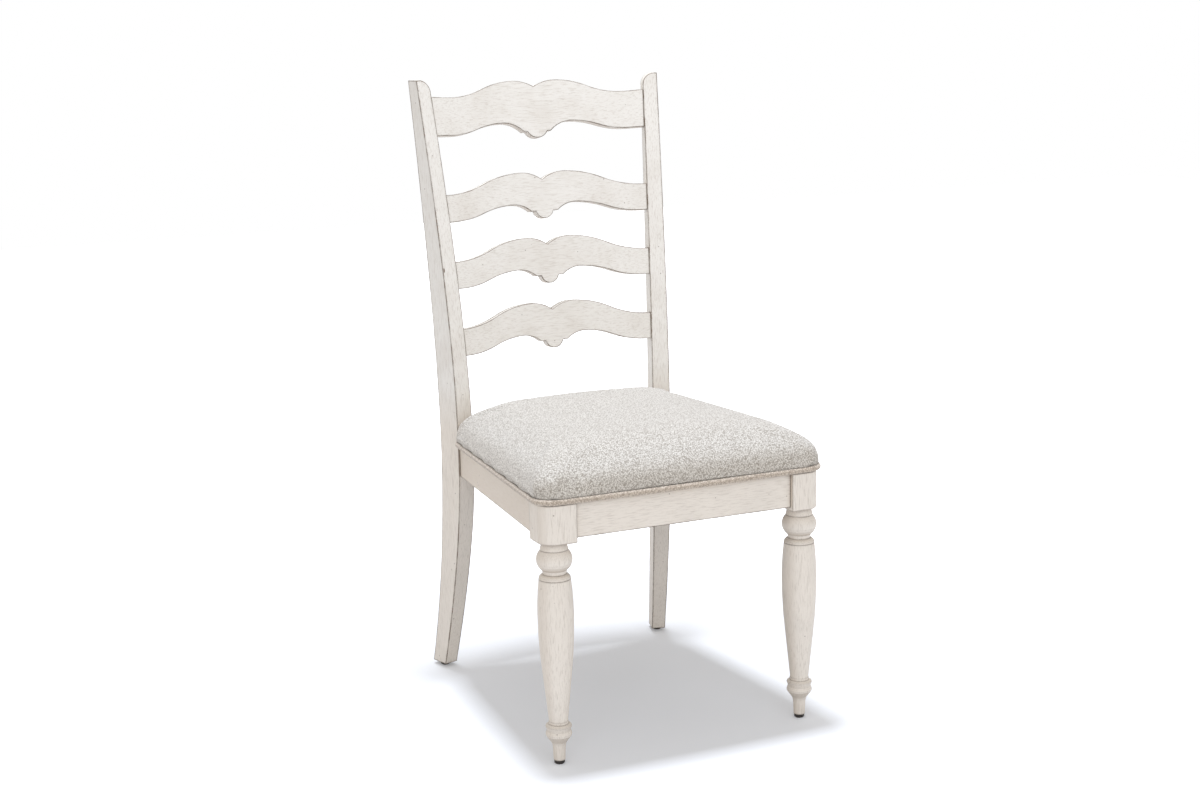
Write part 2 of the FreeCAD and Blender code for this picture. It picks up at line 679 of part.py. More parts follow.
def slat_body(slat):
    body = new_body(slat, slat_place(slat))
    face = sketch_on(body, "XZ_Plane", slat + "_scroll")
    scroll(face, slat)
    extrude(body, face, "2*overall_height", True)
    plan = sketch_on(body, "XY_Plane", slat + "_bow")
    end_x = low_corner(slat).x
    radius = (end_x ** 2 + size("slat_bow") ** 2) / size("2*slat_bow")
    reach = end_x + size("3*tenon_length")

    def on_arc(x, grow):
        return x, size("slat_bow") - radius + math.sqrt((radius + grow) ** 2 - x ** 2)

    thick = size("slat_thickness")
    outline(plan, on_arc(-reach, 0), [
        (on_arc(0, 0), on_arc(reach, 0)),
        (on_arc(reach, thick),),
        (on_arc(0, thick), on_arc(-reach, thick)),
        (on_arc(-reach, 0),),
    ])
    saw(body, plan)
    tall = ("0", "overall_height")
    wide = ("-overall_height", "overall_height")
    for word, side in SIDES:
        face_spot = FreeCAD.Vector(-side * size("post_width/2"), 0, size("taper_high"))
        leaning = FreeCAD.Rotation(FreeCAD.Vector(0, 1, 0), side * math.degrees(POST_LEAN))
        post_face = post_place(side).multiply(FreeCAD.Placement(face_spot, leaning))
        inside_post = ("-overall_height", "0") if side == LEFT else tall
        box(body, "%s_shoulder_%s" % (slat, word), (inside_post, wide, tall), post_face)
        box(body, "%s_tenon_%s" % (slat, word), tenon_spans(slat, side), joint_place(slat, side),
            "PartDesign::AdditiveBox")


# Seat rails: straight boards, the side rails splayed and cut to the turned posts
def rail(label, corners):
    body = new_body(label, placed("0", "0", "rail_bottom"))
    extrude(body, polygon(sketch_on(body, "XY_Plane", label + "_plan"), corners), "rail_top - rail_bottom")
    bore_dowels(body)


def front_rail():
    rail("front_rail", ((BLOCK_INNER_X, FRONT_RAIL_Y), (BLOCK_INNER_X, FRONT_RAIL_BACK_Y),
                        (-BLOCK_INNER_X, FRONT_RAIL_BACK_Y), (-BLOCK_INNER_X, FRONT_RAIL_Y)))


def rear_rail():
    front_x = rear_rail_x(REAR_RAIL_Y)
    back_x = rear_rail_x(REAR_RAIL_BACK_Y)
    rail("rear_rail", ((front_x, REAR_RAIL_Y), (back_x, REAR_RAIL_BACK_Y),
                       (-back_x, REAR_RAIL_BACK_Y), (-front_x, REAR_RAIL_Y)))


def side_rail(word, side):
    inside = size("rail_thickness")
    outer = meets_post(0)
    inner = meets_post(inside)
    rail("side_rail_" + word, ((side * side_rail_x(BLOCK_BACK_Y), BLOCK_BACK_Y), (side * outer.x, outer.y),
                               (side * inner.x, inner.y),
                               (side * side_rail_x(BLOCK_BACK_Y, inside), BLOCK_BACK_Y)))


# Corner blocks: glued and screwed into the corners of the seat frame
def corner_block_plan(end):
    """The right-hand block in plan: wing, notch and wing; end is -1 in front and 1 behind."""
    inside = size("rail_thickness")
    gap = size("corner_block_gap")
    reach = size("corner_block_reach")
    if end < 0:
        rail_y = FRONT_RAIL_BACK_Y
        notch_x = BLOCK_INNER_X - gap
        notch_y = BLOCK_BACK_Y + gap
    else:
        rail_y = REAR_RAIL_Y
        notch_x = POST_INNER.x - gap
        notch_y = meets_post(inside).y - gap
    far_y = notch_y - end * reach
    return ((notch_x - reach, rail_y), (notch_x, rail_y), (notch_x, notch_y),
            (side_rail_x(notch_y, inside), notch_y), (side_rail_x(far_y, inside), far_y))


def corner_block(place, word, end, side):
    bottom = placed("0", "0", "rail_top - corner_block_drop - corner_block_height")
    body = new_body("corner_block_%s_%s" % (place, word), bottom)
    plan = [(side * x, y) for x, y in corner_block_plan(end)]
    extrude(body, polygon(sketch_on(body, "XY_Plane", body.Label + "_plan"), plan), "corner_block_height")
    for name, owner, start, way, grip, bite in screw_places(place, word, end, side):
        bore(body, "%s_%s_hole" % (body.Label, name), "screw_diameter + 2*screw_clearance",
             "%s + %s + screw_clearance" % (grip, bite), pointing(start - way * size("screw_clearance"), way))
        recess = "corner_block_reach"
        bore(body, "%s_%s_recess" % (body.Label, name), "screw_head_diameter + 2*screw_clearance",
             recess, pointing(start - way * size(recess), way))


# Screws: each block has one into each rail and one up into the seat board
def screw_places(place, word, end, side):
    """Each screw as (name, its group, underside of its head, way, grip, bite)."""
    wing, notch_rail, notch, side_near, side_far = corner_block_plan(end)
    middle = size("rail_top - corner_block_drop - corner_block_height/2")
    grip = size("screw_grip")
    rail_way = FreeCAD.Vector(0, end, 0)
    rail_spot = FreeCAD.Vector(side * (wing[0] + notch_rail[0]) / 2, notch_rail[1], middle)
    side_way = FreeCAD.Vector(side * math.cos(SPLAY), math.sin(SPLAY), 0)
    side_spot = FreeCAD.Vector(side * (side_near[0] + side_far[0]) / 2, (side_near[1] + side_far[1]) / 2, middle)
    up = FreeCAD.Vector(0, 0, 1)
    board_x = side * (2 * notch[0] + wing[0] + side_far[0]) / 4
    board_y = (2 * notch[1] + wing[1] + side_far[1]) / 4
    head_z = size("rail_top - corner_block_drop - corner_block_height + screw_head_height")
    name = "%s_%s" % (place, word)
    rail_start = rail_spot - rail_way * grip
    side_start = side_spot - side_way * grip
    board_start = FreeCAD.Vector(board_x, board_y, head_z)
    board_grip = "(corner_block_height - screw_head_height + corner_block_drop)"
    return (
        (name + "_rail", "corner_block_screws", rail_start, rail_way, "screw_grip", "screw_bite"),
        (name + "_side", "corner_block_screws", side_start, side_way, "screw_grip", "screw_bite"),
        (name + "_board", "seat_screws", board_start, up, board_grip, "board_screw_bite"),
    )


def all_screws():
    for place, end in ENDS:
        for word, side in SIDES:
            for screw in screw_places(place, word, end, side):
                yield (word,) + screw


def pin_piece(name, diameter, length, place):
    """A dowel, or the shank or head of a screw: a straight pin with many sides."""
    shape = doc.addObject("Part::Prism", name)
    shape.Polygon = PIN_SIDES
    shape.setExpression("Circumradius", formula("(%s)/2" % diameter))
    shape.setExpression("Height", formula(length))
    shape.Placement = place
    return shape


def group(label, members):
    compound = doc.addObject("Part::Compound", label)
    compound.Label = label
    compound.Links = members
    pieces.append(compound)


def screw_groups():
    groups = {"corner_block_screws": [], "seat_screws": []}
    for word, name, owner, start, way, grip, bite in all_screws():
        whole = "%s + %s" % (grip, bite)
        shank = pin_piece("shank_" + name, "screw_diameter", whole, pointing(start, way))
        head_start = start - way * size("screw_head_height")
        head = pin_piece("head_" + name, "screw_head_diameter", "screw_head_height", pointing(head_start, way))
        screw = doc.addObject("Part::Fuse", "screw_" + name)
        screw.Base = shank
        screw.Tool = head
        groups[owner].append(screw)
    for label, members in groups.items():
        group(label, members)


def dowel_group():
    members = []
    for name, owners, middle, way in dowel_places():
        start = middle - way * size("dowel_reach")
        members.append(pin_piece("dowel_" + name, "dowel_diameter", "2*dowel_reach", pointing(start, way)))
    group("rail_dowels", members)


def bore_for_screws(label):
    """Pilot holes in a rail or in the seat board."""
    body = [piece for piece in pieces if piece.Label == label][0]
    for word, name, owner, start, way, grip, bite in all_screws():
        kind = name.rsplit("_", 1)[1]
        wanted = {"side": "side_rail_" + word, "board": "seat_board"}
        wanted["rail"] = name.split("_")[0] + "_rail"
        if wanted[kind] == label:
            bore(body, "%s_pilot_%s" % (label, name), "screw_diameter + 2*screw_clearance",
                 "%s + %s + screw_clearance" % (grip, bite), pointing(start, way))


# Seat in plan: eight edges that run into each other, at any distance inside its edge
SEAT_FRONT_Y = size("front_leg_y - leg_square/2 - seat_front_overhang")
SEAT_REAR_Y = size("rear_post_y + seat_rear_reach")


def bow_radius(half_chord, bow):
    return (half_chord ** 2 + bow ** 2) / (2 * bow)


FRONT_BOW_RADIUS = bow_radius(side_rail_x(SEAT_FRONT_Y, -size("seat_overhang")), size("seat_front_bow"))
REAR_BOW_RADIUS = bow_radius(side_rail_x(SEAT_REAR_Y, -size("seat_overhang")), size("seat_rear_bow"))


def seat_corner(end, inset, end_inset, corner):
    """Centre of a right-hand corner, with its normals towards the bow and towards the side."""
    radius = FRONT_BOW_RADIUS if end < 0 else REAR_BOW_RADIUS
    edge_y = SEAT_FRONT_Y if end < 0 else SEAT_REAR_Y
    bow_y = edge_y - end * radius
    slope = math.tan(SPLAY)
    side_x = side_rail_x(0, inset + corner - size("seat_overhang"))
    span = radius - end_inset - corner
    middle = side_x * slope + bow_y
    square = middle ** 2 - (1 + slope ** 2) * (side_x ** 2 + bow_y ** 2 - span ** 2)
    y = (middle + end * math.sqrt(square)) / (1 + slope ** 2)
    centre = FreeCAD.Vector(side_x - slope * y, y, 0)
    bow_normal = (centre - FreeCAD.Vector(0, bow_y, 0)).normalize()
    side_normal = FreeCAD.Vector(math.cos(SPLAY), math.sin(SPLAY), 0)
    return centre, bow_normal, side_normal


def chords(centre, start, end, count):
    """Straight steps along an arc about its centre, from after its start up to its end."""
    first = math.atan2(start[1] - centre[1], start[0] - centre[0])
    sweep = math.remainder(math.atan2(end[1] - centre[1], end[0] - centre[0]) - first, 2 * math.pi)
    radius = math.dist(start, centre)
    angles = [first + sweep * number / count for number in range(1, count + 1)]
    return [(centre[0] + radius * math.cos(angle), centre[1] + radius * math.sin(angle)) for angle in angles]


def seat_edge(sketch, inset, rear_inset=None, opened=None):
    """The seat's outline, this far inside its edge; its corners keep in step or open up.
    Where they open up, the outline goes in short chords, as the foam is cut."""
    end_insets = {-1: inset, 1: inset if rear_inset is None else rear_inset}
    walk = []
    centres = []
    for end in (-1, 1):
        name = "seat_front_corner" if end < 0 else "seat_rear_corner"
        corner = size(name) + (-inset if opened is None else opened)
        centre, bow_normal, side_normal = seat_corner(end, inset, end_insets[end], corner)
        halfway = (bow_normal + side_normal).normalize()
        spots = [centre + normal * corner for normal in (bow_normal, halfway, side_normal)]
        walk.append([(spot.x, spot.y) for spot in (spots if end < 0 else spots[::-1])])
        centres.append((centre.x, centre.y))
    front, rear = walk
    front_middle = (0.0, SEAT_FRONT_Y + end_insets[-1])
    rear_middle = (0.0, SEAT_REAR_Y - end_insets[1])

    def flip(spot):
        return -spot[0], spot[1]

    if opened is not None:
        front_centre = (0.0, SEAT_FRONT_Y + FRONT_BOW_RADIUS)
        rear_centre = (0.0, SEAT_REAR_Y - REAR_BOW_RADIUS)
        half = chords(front_centre, front_middle, front[0], CHORDS // 2)
        half += chords(centres[0], front[0], front[2], CHORDS)
        half += [rear[0]] + chords(centres[1], rear[0], rear[2], CHORDS)
        half += chords(rear_centre, rear[2], rear_middle, CHORDS // 2)[:-1]
        return polygon(sketch, [front_middle] + half + [rear_middle] + [flip(spot) for spot in half[::-1]])

    return outline(sketch, flip(front[0]), [
        (front_middle, front[0]),
        (front[1], front[2]),
        (rear[0],),
        (rear[1], rear[2]),
        (rear_middle, flip(rear[2])),
        (flip(rear[1]), flip(rear[0])),
        (flip(front[2]),),
        (flip(front[1]), flip(front[0])),
    ])


# Seat: plywood board, foam, fabric cover with a crown, and piping around its edge
CROWN_LEVELS = (0, 0.3, 0.56, 0.76, 0.9, 0.97, 1)
INNER_LEVELS = CROWN_LEVELS[::2]
CROWN_FULLNESS = 3.1


def crown_inset(level):
    """How far the cushion is drawn in at a share of its height."""
    drawn_in = size("crown_reach") * (1 - math.sqrt(1 - level ** CROWN_FULLNESS))
    return drawn_in + size("crown_tuck") * max(0.0, 1 - 3 * level) ** 2


def crown(body, kind, inset, height, shares=CROWN_LEVELS):
    """A crowned cushion form lofted through its levels, from its seam up."""
    levels = []
    for level in shares:
        lift = "rail_top + board_thickness + soft_gap + %s*(%s)" % (level, height)
        sketch = sketch_on(body, "XY_Plane", "%s_level_%d" % (body.Label, len(body.Group)), lift)
        drawn = crown_inset(level)
        seat_edge(sketch, size(inset) + drawn, size(inset) + 0.75 * drawn, 0.3 * drawn - size(inset))
        levels.append(sketch)
    loft = body.newObject(kind, "%s_crown_%d" % (body.Label, len(body.Group)))
    loft.Profile = levels[0]
    loft.Sections = levels[1:]
    loft.Ruled = True
    doc.recompute()


def seat_board():
    body = new_body("seat_board")
    extrude(body, seat_edge(sketch_on(body, "XY_Plane", "board_plan", "rail_top"), size("board_inset")),
            "board_thickness")


def seat_foam():
    body = new_body("seat_foam")
    crown(body, "PartDesign::AdditiveLoft", "cover_thickness + soft_gap",
          "crown_height - cover_thickness - soft_gap", INNER_LEVELS)


def seat_cover():
    body = new_body("seat_cover")
    crown(body, "PartDesign::AdditiveLoft", "0", "crown_height")
    before = body.Shape.Volume
    crown(body, "PartDesign::SubtractiveLoft", "cover_thickness", "crown_height - cover_thickness", INNER_LEVELS)
    cut_check(body, before, "inside of the cover")


def seat_welt():
    """Piping that follows the edge of the seat in one round."""
    body = new_body("seat_welt")
    middle = "rail_top + soft_gap + welt_diameter/2"
    path = seat_edge(sketch_on(body, "XY_Plane", "welt_path", middle), size("welt_diameter/2"))
    section = sketch_on(body, "YZ_Plane", "welt_section")
    spot = (SEAT_FRONT_Y + size("welt_diameter/2"), middle)
    corners = []
    for number in range(WELT_SIDES):
        angle = (number + 0.5) * 360 / WELT_SIDES
        corners.append(("%r + welt_diameter/2*cos(%r)" % (spot[0], angle),
                        "%s + welt_diameter/2*sin(%r)" % (spot[1], angle)))
    polygon(section, corners)
    pipe = body.newObject("PartDesign::AdditivePipe", "welt_pipe")
    pipe.Profile = section
    pipe.Spine = (path, [])
    doc.recompute()


def dust_cover():
    """Cloth stapled under the board, inside the rails and between the corner blocks."""
    body = new_body("dust_cover")
    margin = size("dust_cover_margin")
    corners = []
    for end in (-1, 1):
        wing, notch_rail, notch, side_near, side_far = corner_block_plan(end)
        pair = [(wing[0], wing[1] - end * margin), (side_far[0] - margin, side_far[1])]
        corners += pair if end < 0 else pair[::-1]
    corners += [(-x, y) for x, y in corners[::-1]]
    plan = sketch_on(body, "XY_Plane", "dust_cover_plan", "rail_top - soft_gap - dust_cover_thickness")
    extrude(body, polygon(plan, corners), "dust_cover_thickness")


# Glides: bevelled discs nailed under the feet
def glide(place, word, middle):
    """A disc with a bevelled underside and a nail in one piece."""
    body = new_body("glide_%s_%s" % (place, word), placed(middle.x, middle.y, 0))
    disc = body.newObject("PartDesign::AdditivePrism", body.Label + "_disc")
    disc.Polygon = GLIDE_SIDES
    disc.setExpression("Circumradius", formula("glide_diameter/2"))
    disc.setExpression("Height", formula("glide_height"))
    doc.recompute()
    rim = ["Edge%d" % number for number, edge in enumerate(disc.Shape.Edges, 1)
           if edge.BoundBox.ZMax < 0.01]
    bevel = body.newObject("PartDesign::Chamfer", body.Label + "_bevel")
    bevel.Base = (disc, rim)
    bevel.setExpression("Size", formula("0.3*glide_height"))
    doc.recompute()
    nail = body.newObject("PartDesign::AdditivePrism", body.Label + "_nail")
    nail.Polygon = PIN_SIDES
    nail.setExpression("Circumradius", formula("nail_diameter/2"))
    nail.setExpression("Height", formula("nail_length + glide_height/2"))
    nail.Placement = FreeCAD.Placement(FreeCAD.Vector(0, 0, size("glide_height/2")), FreeCAD.Rotation())
    doc.recompute()


# The chair
for word, side in SIDES:
    front_leg(word, side)
    rear_post(word, side)
    side_rail(word, side)
front_rail()
rear_rail()
for slat in SLATS:
    slat_body(slat)
for place, end in ENDS:
    for word, side in SIDES:
        corner_block(place, word, end, side)
seat_board()
for label in ("front_rail", "rear_rail", "side_rail_left", "side_rail_right", "seat_board"):
    bore_for_screws(label)
seat_foam()
seat_cover()
seat_welt()
dust_cover()
screw_groups()
dowel_group()
for word, side in SIDES:
    glide("front", word, placed("%d*front_leg_x" % side, "front_leg_y", "0").Base)
    glide("rear", word, foot_middle(side))
doc.recompute()

# Every object has to be sound before anything is written
for item in doc.Objects:
    if "Invalid" in item.State or "Error" in item.State:
        raise RuntimeError("%s is %s" % (item.Name, item.State))
for piece in pieces:
    if piece.Shape.isNull() or not piece.Shape.isValid() or not piece.Shape.Solids:
        raise RuntimeError(piece.Label + " has no sound shape")

os.makedirs("parts", exist_ok=True)
for piece in pieces:
    piece.Shape.exportStep("parts/%s.step" % piece.Label)
    print("%-28s %2d solid %10.1f cm3" % (piece.Label, len(piece.Shape.Solids), piece.Shape.Volume / 1000))
whole = Part.makeCompound([piece.Shape for piece in pieces]).BoundBox
print("%.1f wide, %.1f deep, %.1f high" % (whole.XLength, whole.YLength, whole.ZLength))
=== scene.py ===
# %% [markdown]
# A painted ladderback dining chair
#
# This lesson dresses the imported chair: a light-coloured dining chair with four scrolled slats, turned
# front legs and a padded seat. The wooden pieces come from the frame with their true shapes and
# places, so they only get a finish. The cushion, its piping and the cloth under the seat are soft,
# and they are modelled here as fabric.

import math

import bpy
from mathutils import Matrix, Vector, noise


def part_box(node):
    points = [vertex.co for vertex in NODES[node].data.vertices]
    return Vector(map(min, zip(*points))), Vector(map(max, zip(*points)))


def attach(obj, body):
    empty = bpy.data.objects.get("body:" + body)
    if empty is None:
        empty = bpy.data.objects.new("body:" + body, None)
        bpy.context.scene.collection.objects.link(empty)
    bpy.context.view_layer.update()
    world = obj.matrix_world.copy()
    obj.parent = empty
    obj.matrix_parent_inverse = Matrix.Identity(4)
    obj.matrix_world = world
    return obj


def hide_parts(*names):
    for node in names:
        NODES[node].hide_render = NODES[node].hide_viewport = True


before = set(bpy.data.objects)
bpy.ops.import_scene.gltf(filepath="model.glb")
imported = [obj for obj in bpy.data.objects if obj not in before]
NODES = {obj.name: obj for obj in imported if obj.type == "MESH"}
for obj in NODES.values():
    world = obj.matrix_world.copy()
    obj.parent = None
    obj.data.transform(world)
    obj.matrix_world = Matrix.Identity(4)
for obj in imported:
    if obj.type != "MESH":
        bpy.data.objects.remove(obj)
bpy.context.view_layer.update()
SCENE = bpy.context.scene

# %% [markdown]
# The camera comes first, because everything after it is judged through it. The photograph was taken
# from in front of the chair and to the viewer's left, a little higher than its back and with a
# slightly long lens. The place and the angles were worked out from the vanishing points of the
# rails, the posts and the floor. A camera can be aimed with a constraint, but writing its three axes
# keeps the small roll of the photograph as well.

# %% Camera
CAMERA_PLACE = Vector((-1.340, -2.9412, 1.172))
CAMERA_YAW = math.radians(24.32)     # turned to the right of straight ahead
CAMERA_PITCH = math.radians(11.21)   # looking down
CAMERA_ROLL = math.radians(-1.24)
IMAGE_WIDTH = 1200
FOCAL_PIXELS = 1891
SENSOR_WIDTH = 36.0
VIEW_SHIFT = (-0.0009, -0.0015)      # how far the picture's middle lies off the lens's own


def camera_axes(yaw, pitch, roll):
    """The camera's own right, up and forward directions."""
    ahead = math.cos(pitch)
    forward = Vector((math.sin(yaw) * ahead, math.cos(yaw) * ahead, -math.sin(pitch)))
    level = Vector((math.cos(yaw), -math.sin(yaw), 0))
    upright = level.cross(forward)
    right = level * math.cos(roll) + upright * math.sin(roll)
    up = upright * math.cos(roll) - level * math.sin(roll)
    return right, up, forward


camera_data = bpy.data.cameras.new("studio_camera")
camera_data.sensor_width = SENSOR_WIDTH
camera_data.lens = FOCAL_PIXELS / IMAGE_WIDTH * SENSOR_WIDTH
camera_data.shift_x, camera_data.shift_y = VIEW_SHIFT
camera = bpy.data.objects.new("studio_camera", camera_data)
SCENE.collection.objects.link(camera)
right, up, forward = camera_axes(CAMERA_YAW, CAMERA_PITCH, CAMERA_ROLL)
turned = Matrix((right, up, -forward)).transposed().to_4x4()
camera.matrix_world = Matrix.Translation(CAMERA_PLACE) @ turned
SCENE.camera = camera
print("lens %.1f mm" % camera_data.lens)

# %% [markdown]
# Every material below is a graph of nodes. A few small helpers keep the graphs short: one turns a
# colour that is written as a hex value into the linear numbers that a shader works with, one adds a
# node with its settings and sets or links its inputs, one starts an empty graph, and one turns a
# size in millimetres into the scale of a texture.

# %% Helpers for colours and nodes


def colour(hexadecimal):
    """An sRGB hex value as a linear colour, by the curve of the sRGB standard."""
    shares = [int(hexadecimal[i:i + 2], 16) / 255 for i in (1, 3, 5)]
    return tuple(s / 12.92 if s <= 0.04045 else ((s + 0.055) / 1.055) ** 2.4 for s in shares) + (1,)


def add(tree, kind, inputs=None, **settings):
    """A node of the given kind; an input gets a value, or the link from another node's output."""
    node = tree.nodes.new("ShaderNode" + kind)
    for setting, value in settings.items():
        setattr(node, setting, value)
    for socket, value in (inputs or {}).items():
        if isinstance(value, bpy.types.NodeSocket):
            tree.links.new(value, node.inputs[socket])
        else:
            node.inputs[socket].default_value = value
    return node


def new_material(name):
    """A material with an empty graph, and the graph to build in."""
    material = bpy.data.materials.new(name)
    material.use_nodes = True
    tree = material.node_tree
    tree.nodes.clear()
    return material, tree


def per_mm(size):
    """The texture scale that gives a pattern of this many millimetres."""
    return 1000 / size


print("white is", colour("#ffffff"))

# %% [markdown]
# The studio is a white sheet: a floor that fades into a white background. The light is soft and
# mostly from above and in front, so the chair's front faces are bright, the faces towards the
# viewer's left are a little darker, and the only clear shadow lies under the seat. A bright backdrop
# could light the chair as well, but that would wash out its edges. So the floor and the background
# are white only to the camera and in reflections, and light or shadow falls on the floor as on paper.

# %% Floor and background
FLOOR_HALF = 8.0           # metres from the middle of the floor to its edges
FLOOR_PAPER = "#e1e5eb"    # a cool white, which sets the tone of the shadow
FLOOR_LIFT = 0.16          # glow that brings the open floor near the chair up to white
FADE_FROM = 0.55           # metres from the middle of the chair where the floor starts to fade
FADE_TO = 1.25             # and where it is as white as the background

floor_mesh = bpy.data.meshes.new("studio_floor")
corners = [(-FLOOR_HALF, -FLOOR_HALF, 0), (FLOOR_HALF, -FLOOR_HALF, 0),
           (FLOOR_HALF, FLOOR_HALF, 0), (-FLOOR_HALF, FLOOR_HALF, 0)]
floor_mesh.from_pydata(corners, [], [(0, 1, 2, 3)])
floor = bpy.data.objects.new("studio_floor", floor_mesh)
SCENE.collection.objects.link(floor)


def seen_directly(tree):
    """1 for a ray from the camera, a reflection or a ray through glass, and 0 for light."""
    rays = add(tree, "LightPath").outputs
    mirrored = add(tree, "Math", {0: rays["Is Camera Ray"], 1: rays["Is Glossy Ray"]},
                   operation="MAXIMUM")
    through = rays["Is Transmission Ray"]
    return add(tree, "Math", {0: mirrored.outputs[0], 1: through}, operation="MAXIMUM").outputs[0]


paper, tree = new_material("white_paper_floor")
spot = add(tree, "TexCoord").outputs["Object"]
away = add(tree, "VectorMath", {0: spot}, operation="LENGTH").outputs["Value"]
fade = add(tree, "MapRange", {0: away, 1: FADE_FROM, 2: FADE_TO, 3: FLOOR_LIFT, 4: 1.0},
           interpolation_type="SMOOTHSTEP").outputs[0]
lift = add(tree, "Math", {0: seen_directly(tree), 1: fade}, operation="MULTIPLY")
matt = add(tree, "BsdfDiffuse", {"Color": colour(FLOOR_PAPER)})
glow = add(tree, "Emission", {"Color": colour("#ffffff"), "Strength": lift.outputs[0]})
both = add(tree, "AddShader", {0: matt.outputs[0], 1: glow.outputs[0]})
add(tree, "OutputMaterial", {"Surface": both.outputs[0]})
floor_mesh.materials.append(paper)

WORLD_LIGHT = 0.6          # light from all round, where 1 is white
WORLD_TINT = "#fffaf5"     # walls that throw a little warmth back
world = bpy.data.worlds.new("white_studio")
world.use_nodes = True
SCENE.world = world
sky = world.node_tree
sky.nodes.clear()
direct = seen_directly(sky)
strength = add(sky, "Mix", {0: direct, 2: WORLD_LIGHT, 3: 1.0}, data_type="FLOAT")
tint = add(sky, "Mix", {0: direct, 6: colour(WORLD_TINT), 7: colour("#ffffff")}, data_type="RGBA")
ambient = add(sky, "Background", {"Color": tint.outputs[2], "Strength": strength.outputs[0]})
add(sky, "OutputWorld", {"Surface": ambient.outputs[0]})
print("the floor fades to white from %.2f to %.2f m" % (FADE_FROM, FADE_TO))

# %% [markdown]
# Two softboxes light the chair. A small one high above its back draws the soft shadow under the
# seat, and a very large one in front and to the left lights the front faces evenly. A sun lamp would
# be simpler to place, but its shadow would be hard.

# %% Lamps
CHAIR_MIDDLE = Vector((0, 0, 0.55))


def soft_lamp(name, place, size, watts, tint):
    """A square softbox that looks at the middle of the chair."""
    lamp = bpy.data.lights.new(name, "AREA")
    lamp.shape = "SQUARE"
    lamp.size = size
    lamp.energy = watts
    lamp.color = colour(tint)[:3]
    box = bpy.data.objects.new(name, lamp)
    box.location = place
    box.rotation_euler = (CHAIR_MIDDLE - box.location).to_track_quat("-Z", "Y").to_euler()
    SCENE.collection.objects.link(box)
    print(name, "%.0f W" % watts)


soft_lamp("top_softbox", Vector((0.0, 0.38, 7.0)), size=0.8, watts=315, tint="#f6f9ff")
soft_lamp("front_softbox", Vector((-2.0, -6.9, 4.4)), size=8.0, watts=182, tint="#f8faff")

SCENE.view_settings.view_transform = "Standard"

# %% [markdown]
# The chair's finish is antique white milk paint over beech, rubbed and glazed by hand. The paint is
# a warm white. A thin grey-brown glaze was wiped over it, and it stayed behind in the grain, in the
# joints and along the arrises. Small dents and specks were added to look old. The surface has the
# dull shine of a satin varnish.
#
# A painted texture could show this, but it would need a picture for each piece. Here the same
# recipe of noise runs through space, stretched along each piece's grain. Ambient occlusion finds
# the corners where glaze collects, and a bevel finds the arrises.

# %% Tones and sizes of the milk paint, its glaze and its painted shade
PAINT = "#f0ede7"
PAINT_BELOW_SEAT_SHADED = "#e9e1d6"        # below the seat the frame and legs are darker and warmer, partly painted shade under the seat
GLAZE_THIN = "#dad3c9"       # clouds of glaze on open faces
GLAZE_PORES = "#b9aea1"      # strokes of it in the grain
PAINTED_SHADE_UNDER = "#b5a695"      # painted shade on undersides, darker the more a face looks down
PAINTED_SHADE_SIDES = "#cfc1b0"      # painted shade on faces towards either side
GLAZE_ARRIS = "#736253"      # the line along an arris, and the ground of a nick
GLAZE_CORNERS = "#8f8071"    # inner corners, which the wiping cloth skipped
GLAZE_DEEP = "#5f5347"       # the open line of a joint
GRAIN_WIDTH = 1.6            # millimetres; real strokes are finer than the picture can show
GRAIN_STRETCH = 13           # how many times longer than wide the strokes are
CLOUD_SIZE = 70
BREAK_SIZE = 22              # millimetres in which an arris line turns from strong to faint
ARRIS = 0.0036               # metres; wider than the real line, so that it shows from this far
CORNER_REACH = 0.012         # metres from an inner corner to where its glaze ends
JOINT_WIDTH = 0.004
BELOW_SEAT_FROM = 0.54             # height in metres at which the darker paint below the seat starts
BELOW_SEAT_TO = 0.46               # and under which all of it is darker
GRAIN_DEPTH = 0.0004         # metres of relief in the grain
VARNISH_IOR = 1.48
PROBES = 8                   # rays that look for an arris, a corner or a joint at each point
print("paint", PAINT, "with grain strokes of %.1f mm" % GRAIN_WIDTH)

# %% [markdown]
# Makers of such furniture also age it: they flick dark specks over the paint and nick it here and
# there. Each mark could be put in its place by hand, but it would take a list of places for every
# piece. Here space is divided into random cells. A cell holds at most one mark at its middle, and
# its own random number decides whether it has one, so the marks are rare and never in rows.

# %% Specks and nicks
SPECK = "#6f6052"
SPECK_SPACING = 17           # millimetres between the cells that may hold a speck
NICK_SPACING = 55
NICK_TURN = (0.5, 0.4, 0.6)  # keeps the nicks' cells off the directions of the chair


def age_marks(tree, place, stretch):
    """The shares and tones of round specks and of nicks, which are longer along the grain."""
    nick_stretch = [0.5 if s < 1 else 1.6 for s in stretch]
    nick_place = add(tree, "Mapping", {"Vector": place, "Scale": nick_stretch, "Rotation": NICK_TURN})
    kinds = [
        # place, spacing, random number, part of the cells, edge, core, strength, tone
        (place, SPECK_SPACING, "Red", 0.4, 0.08, 0.04, 0.75, SPECK),
        (nick_place.outputs[0], NICK_SPACING, "Green", 0.5, 0.05, 0.03, 1.0, GLAZE_ARRIS),
    ]
    marks = []
    for spot, spacing, number, part, edge, core, strength, tone in kinds:
        cells = add(tree, "TexVoronoi", {"Vector": spot, "Scale": per_mm(spacing)}).outputs
        chance = add(tree, "SeparateColor", {"Color": cells["Color"]}).outputs[number]
        chosen = add(tree, "Math", {0: chance, 1: part}, operation="LESS_THAN").outputs[0]
        dot = add(tree, "MapRange", {0: cells["Distance"], 1: edge, 2: core, 4: strength}).outputs[0]
        share = add(tree, "Math", {0: dot, 1: chosen}, operation="MULTIPLY").outputs[0]
        marks.append((share, tone))
    return marks


print("a speck for some cells of %d mm, a nick for some of %d mm" % (SPECK_SPACING, NICK_SPACING))
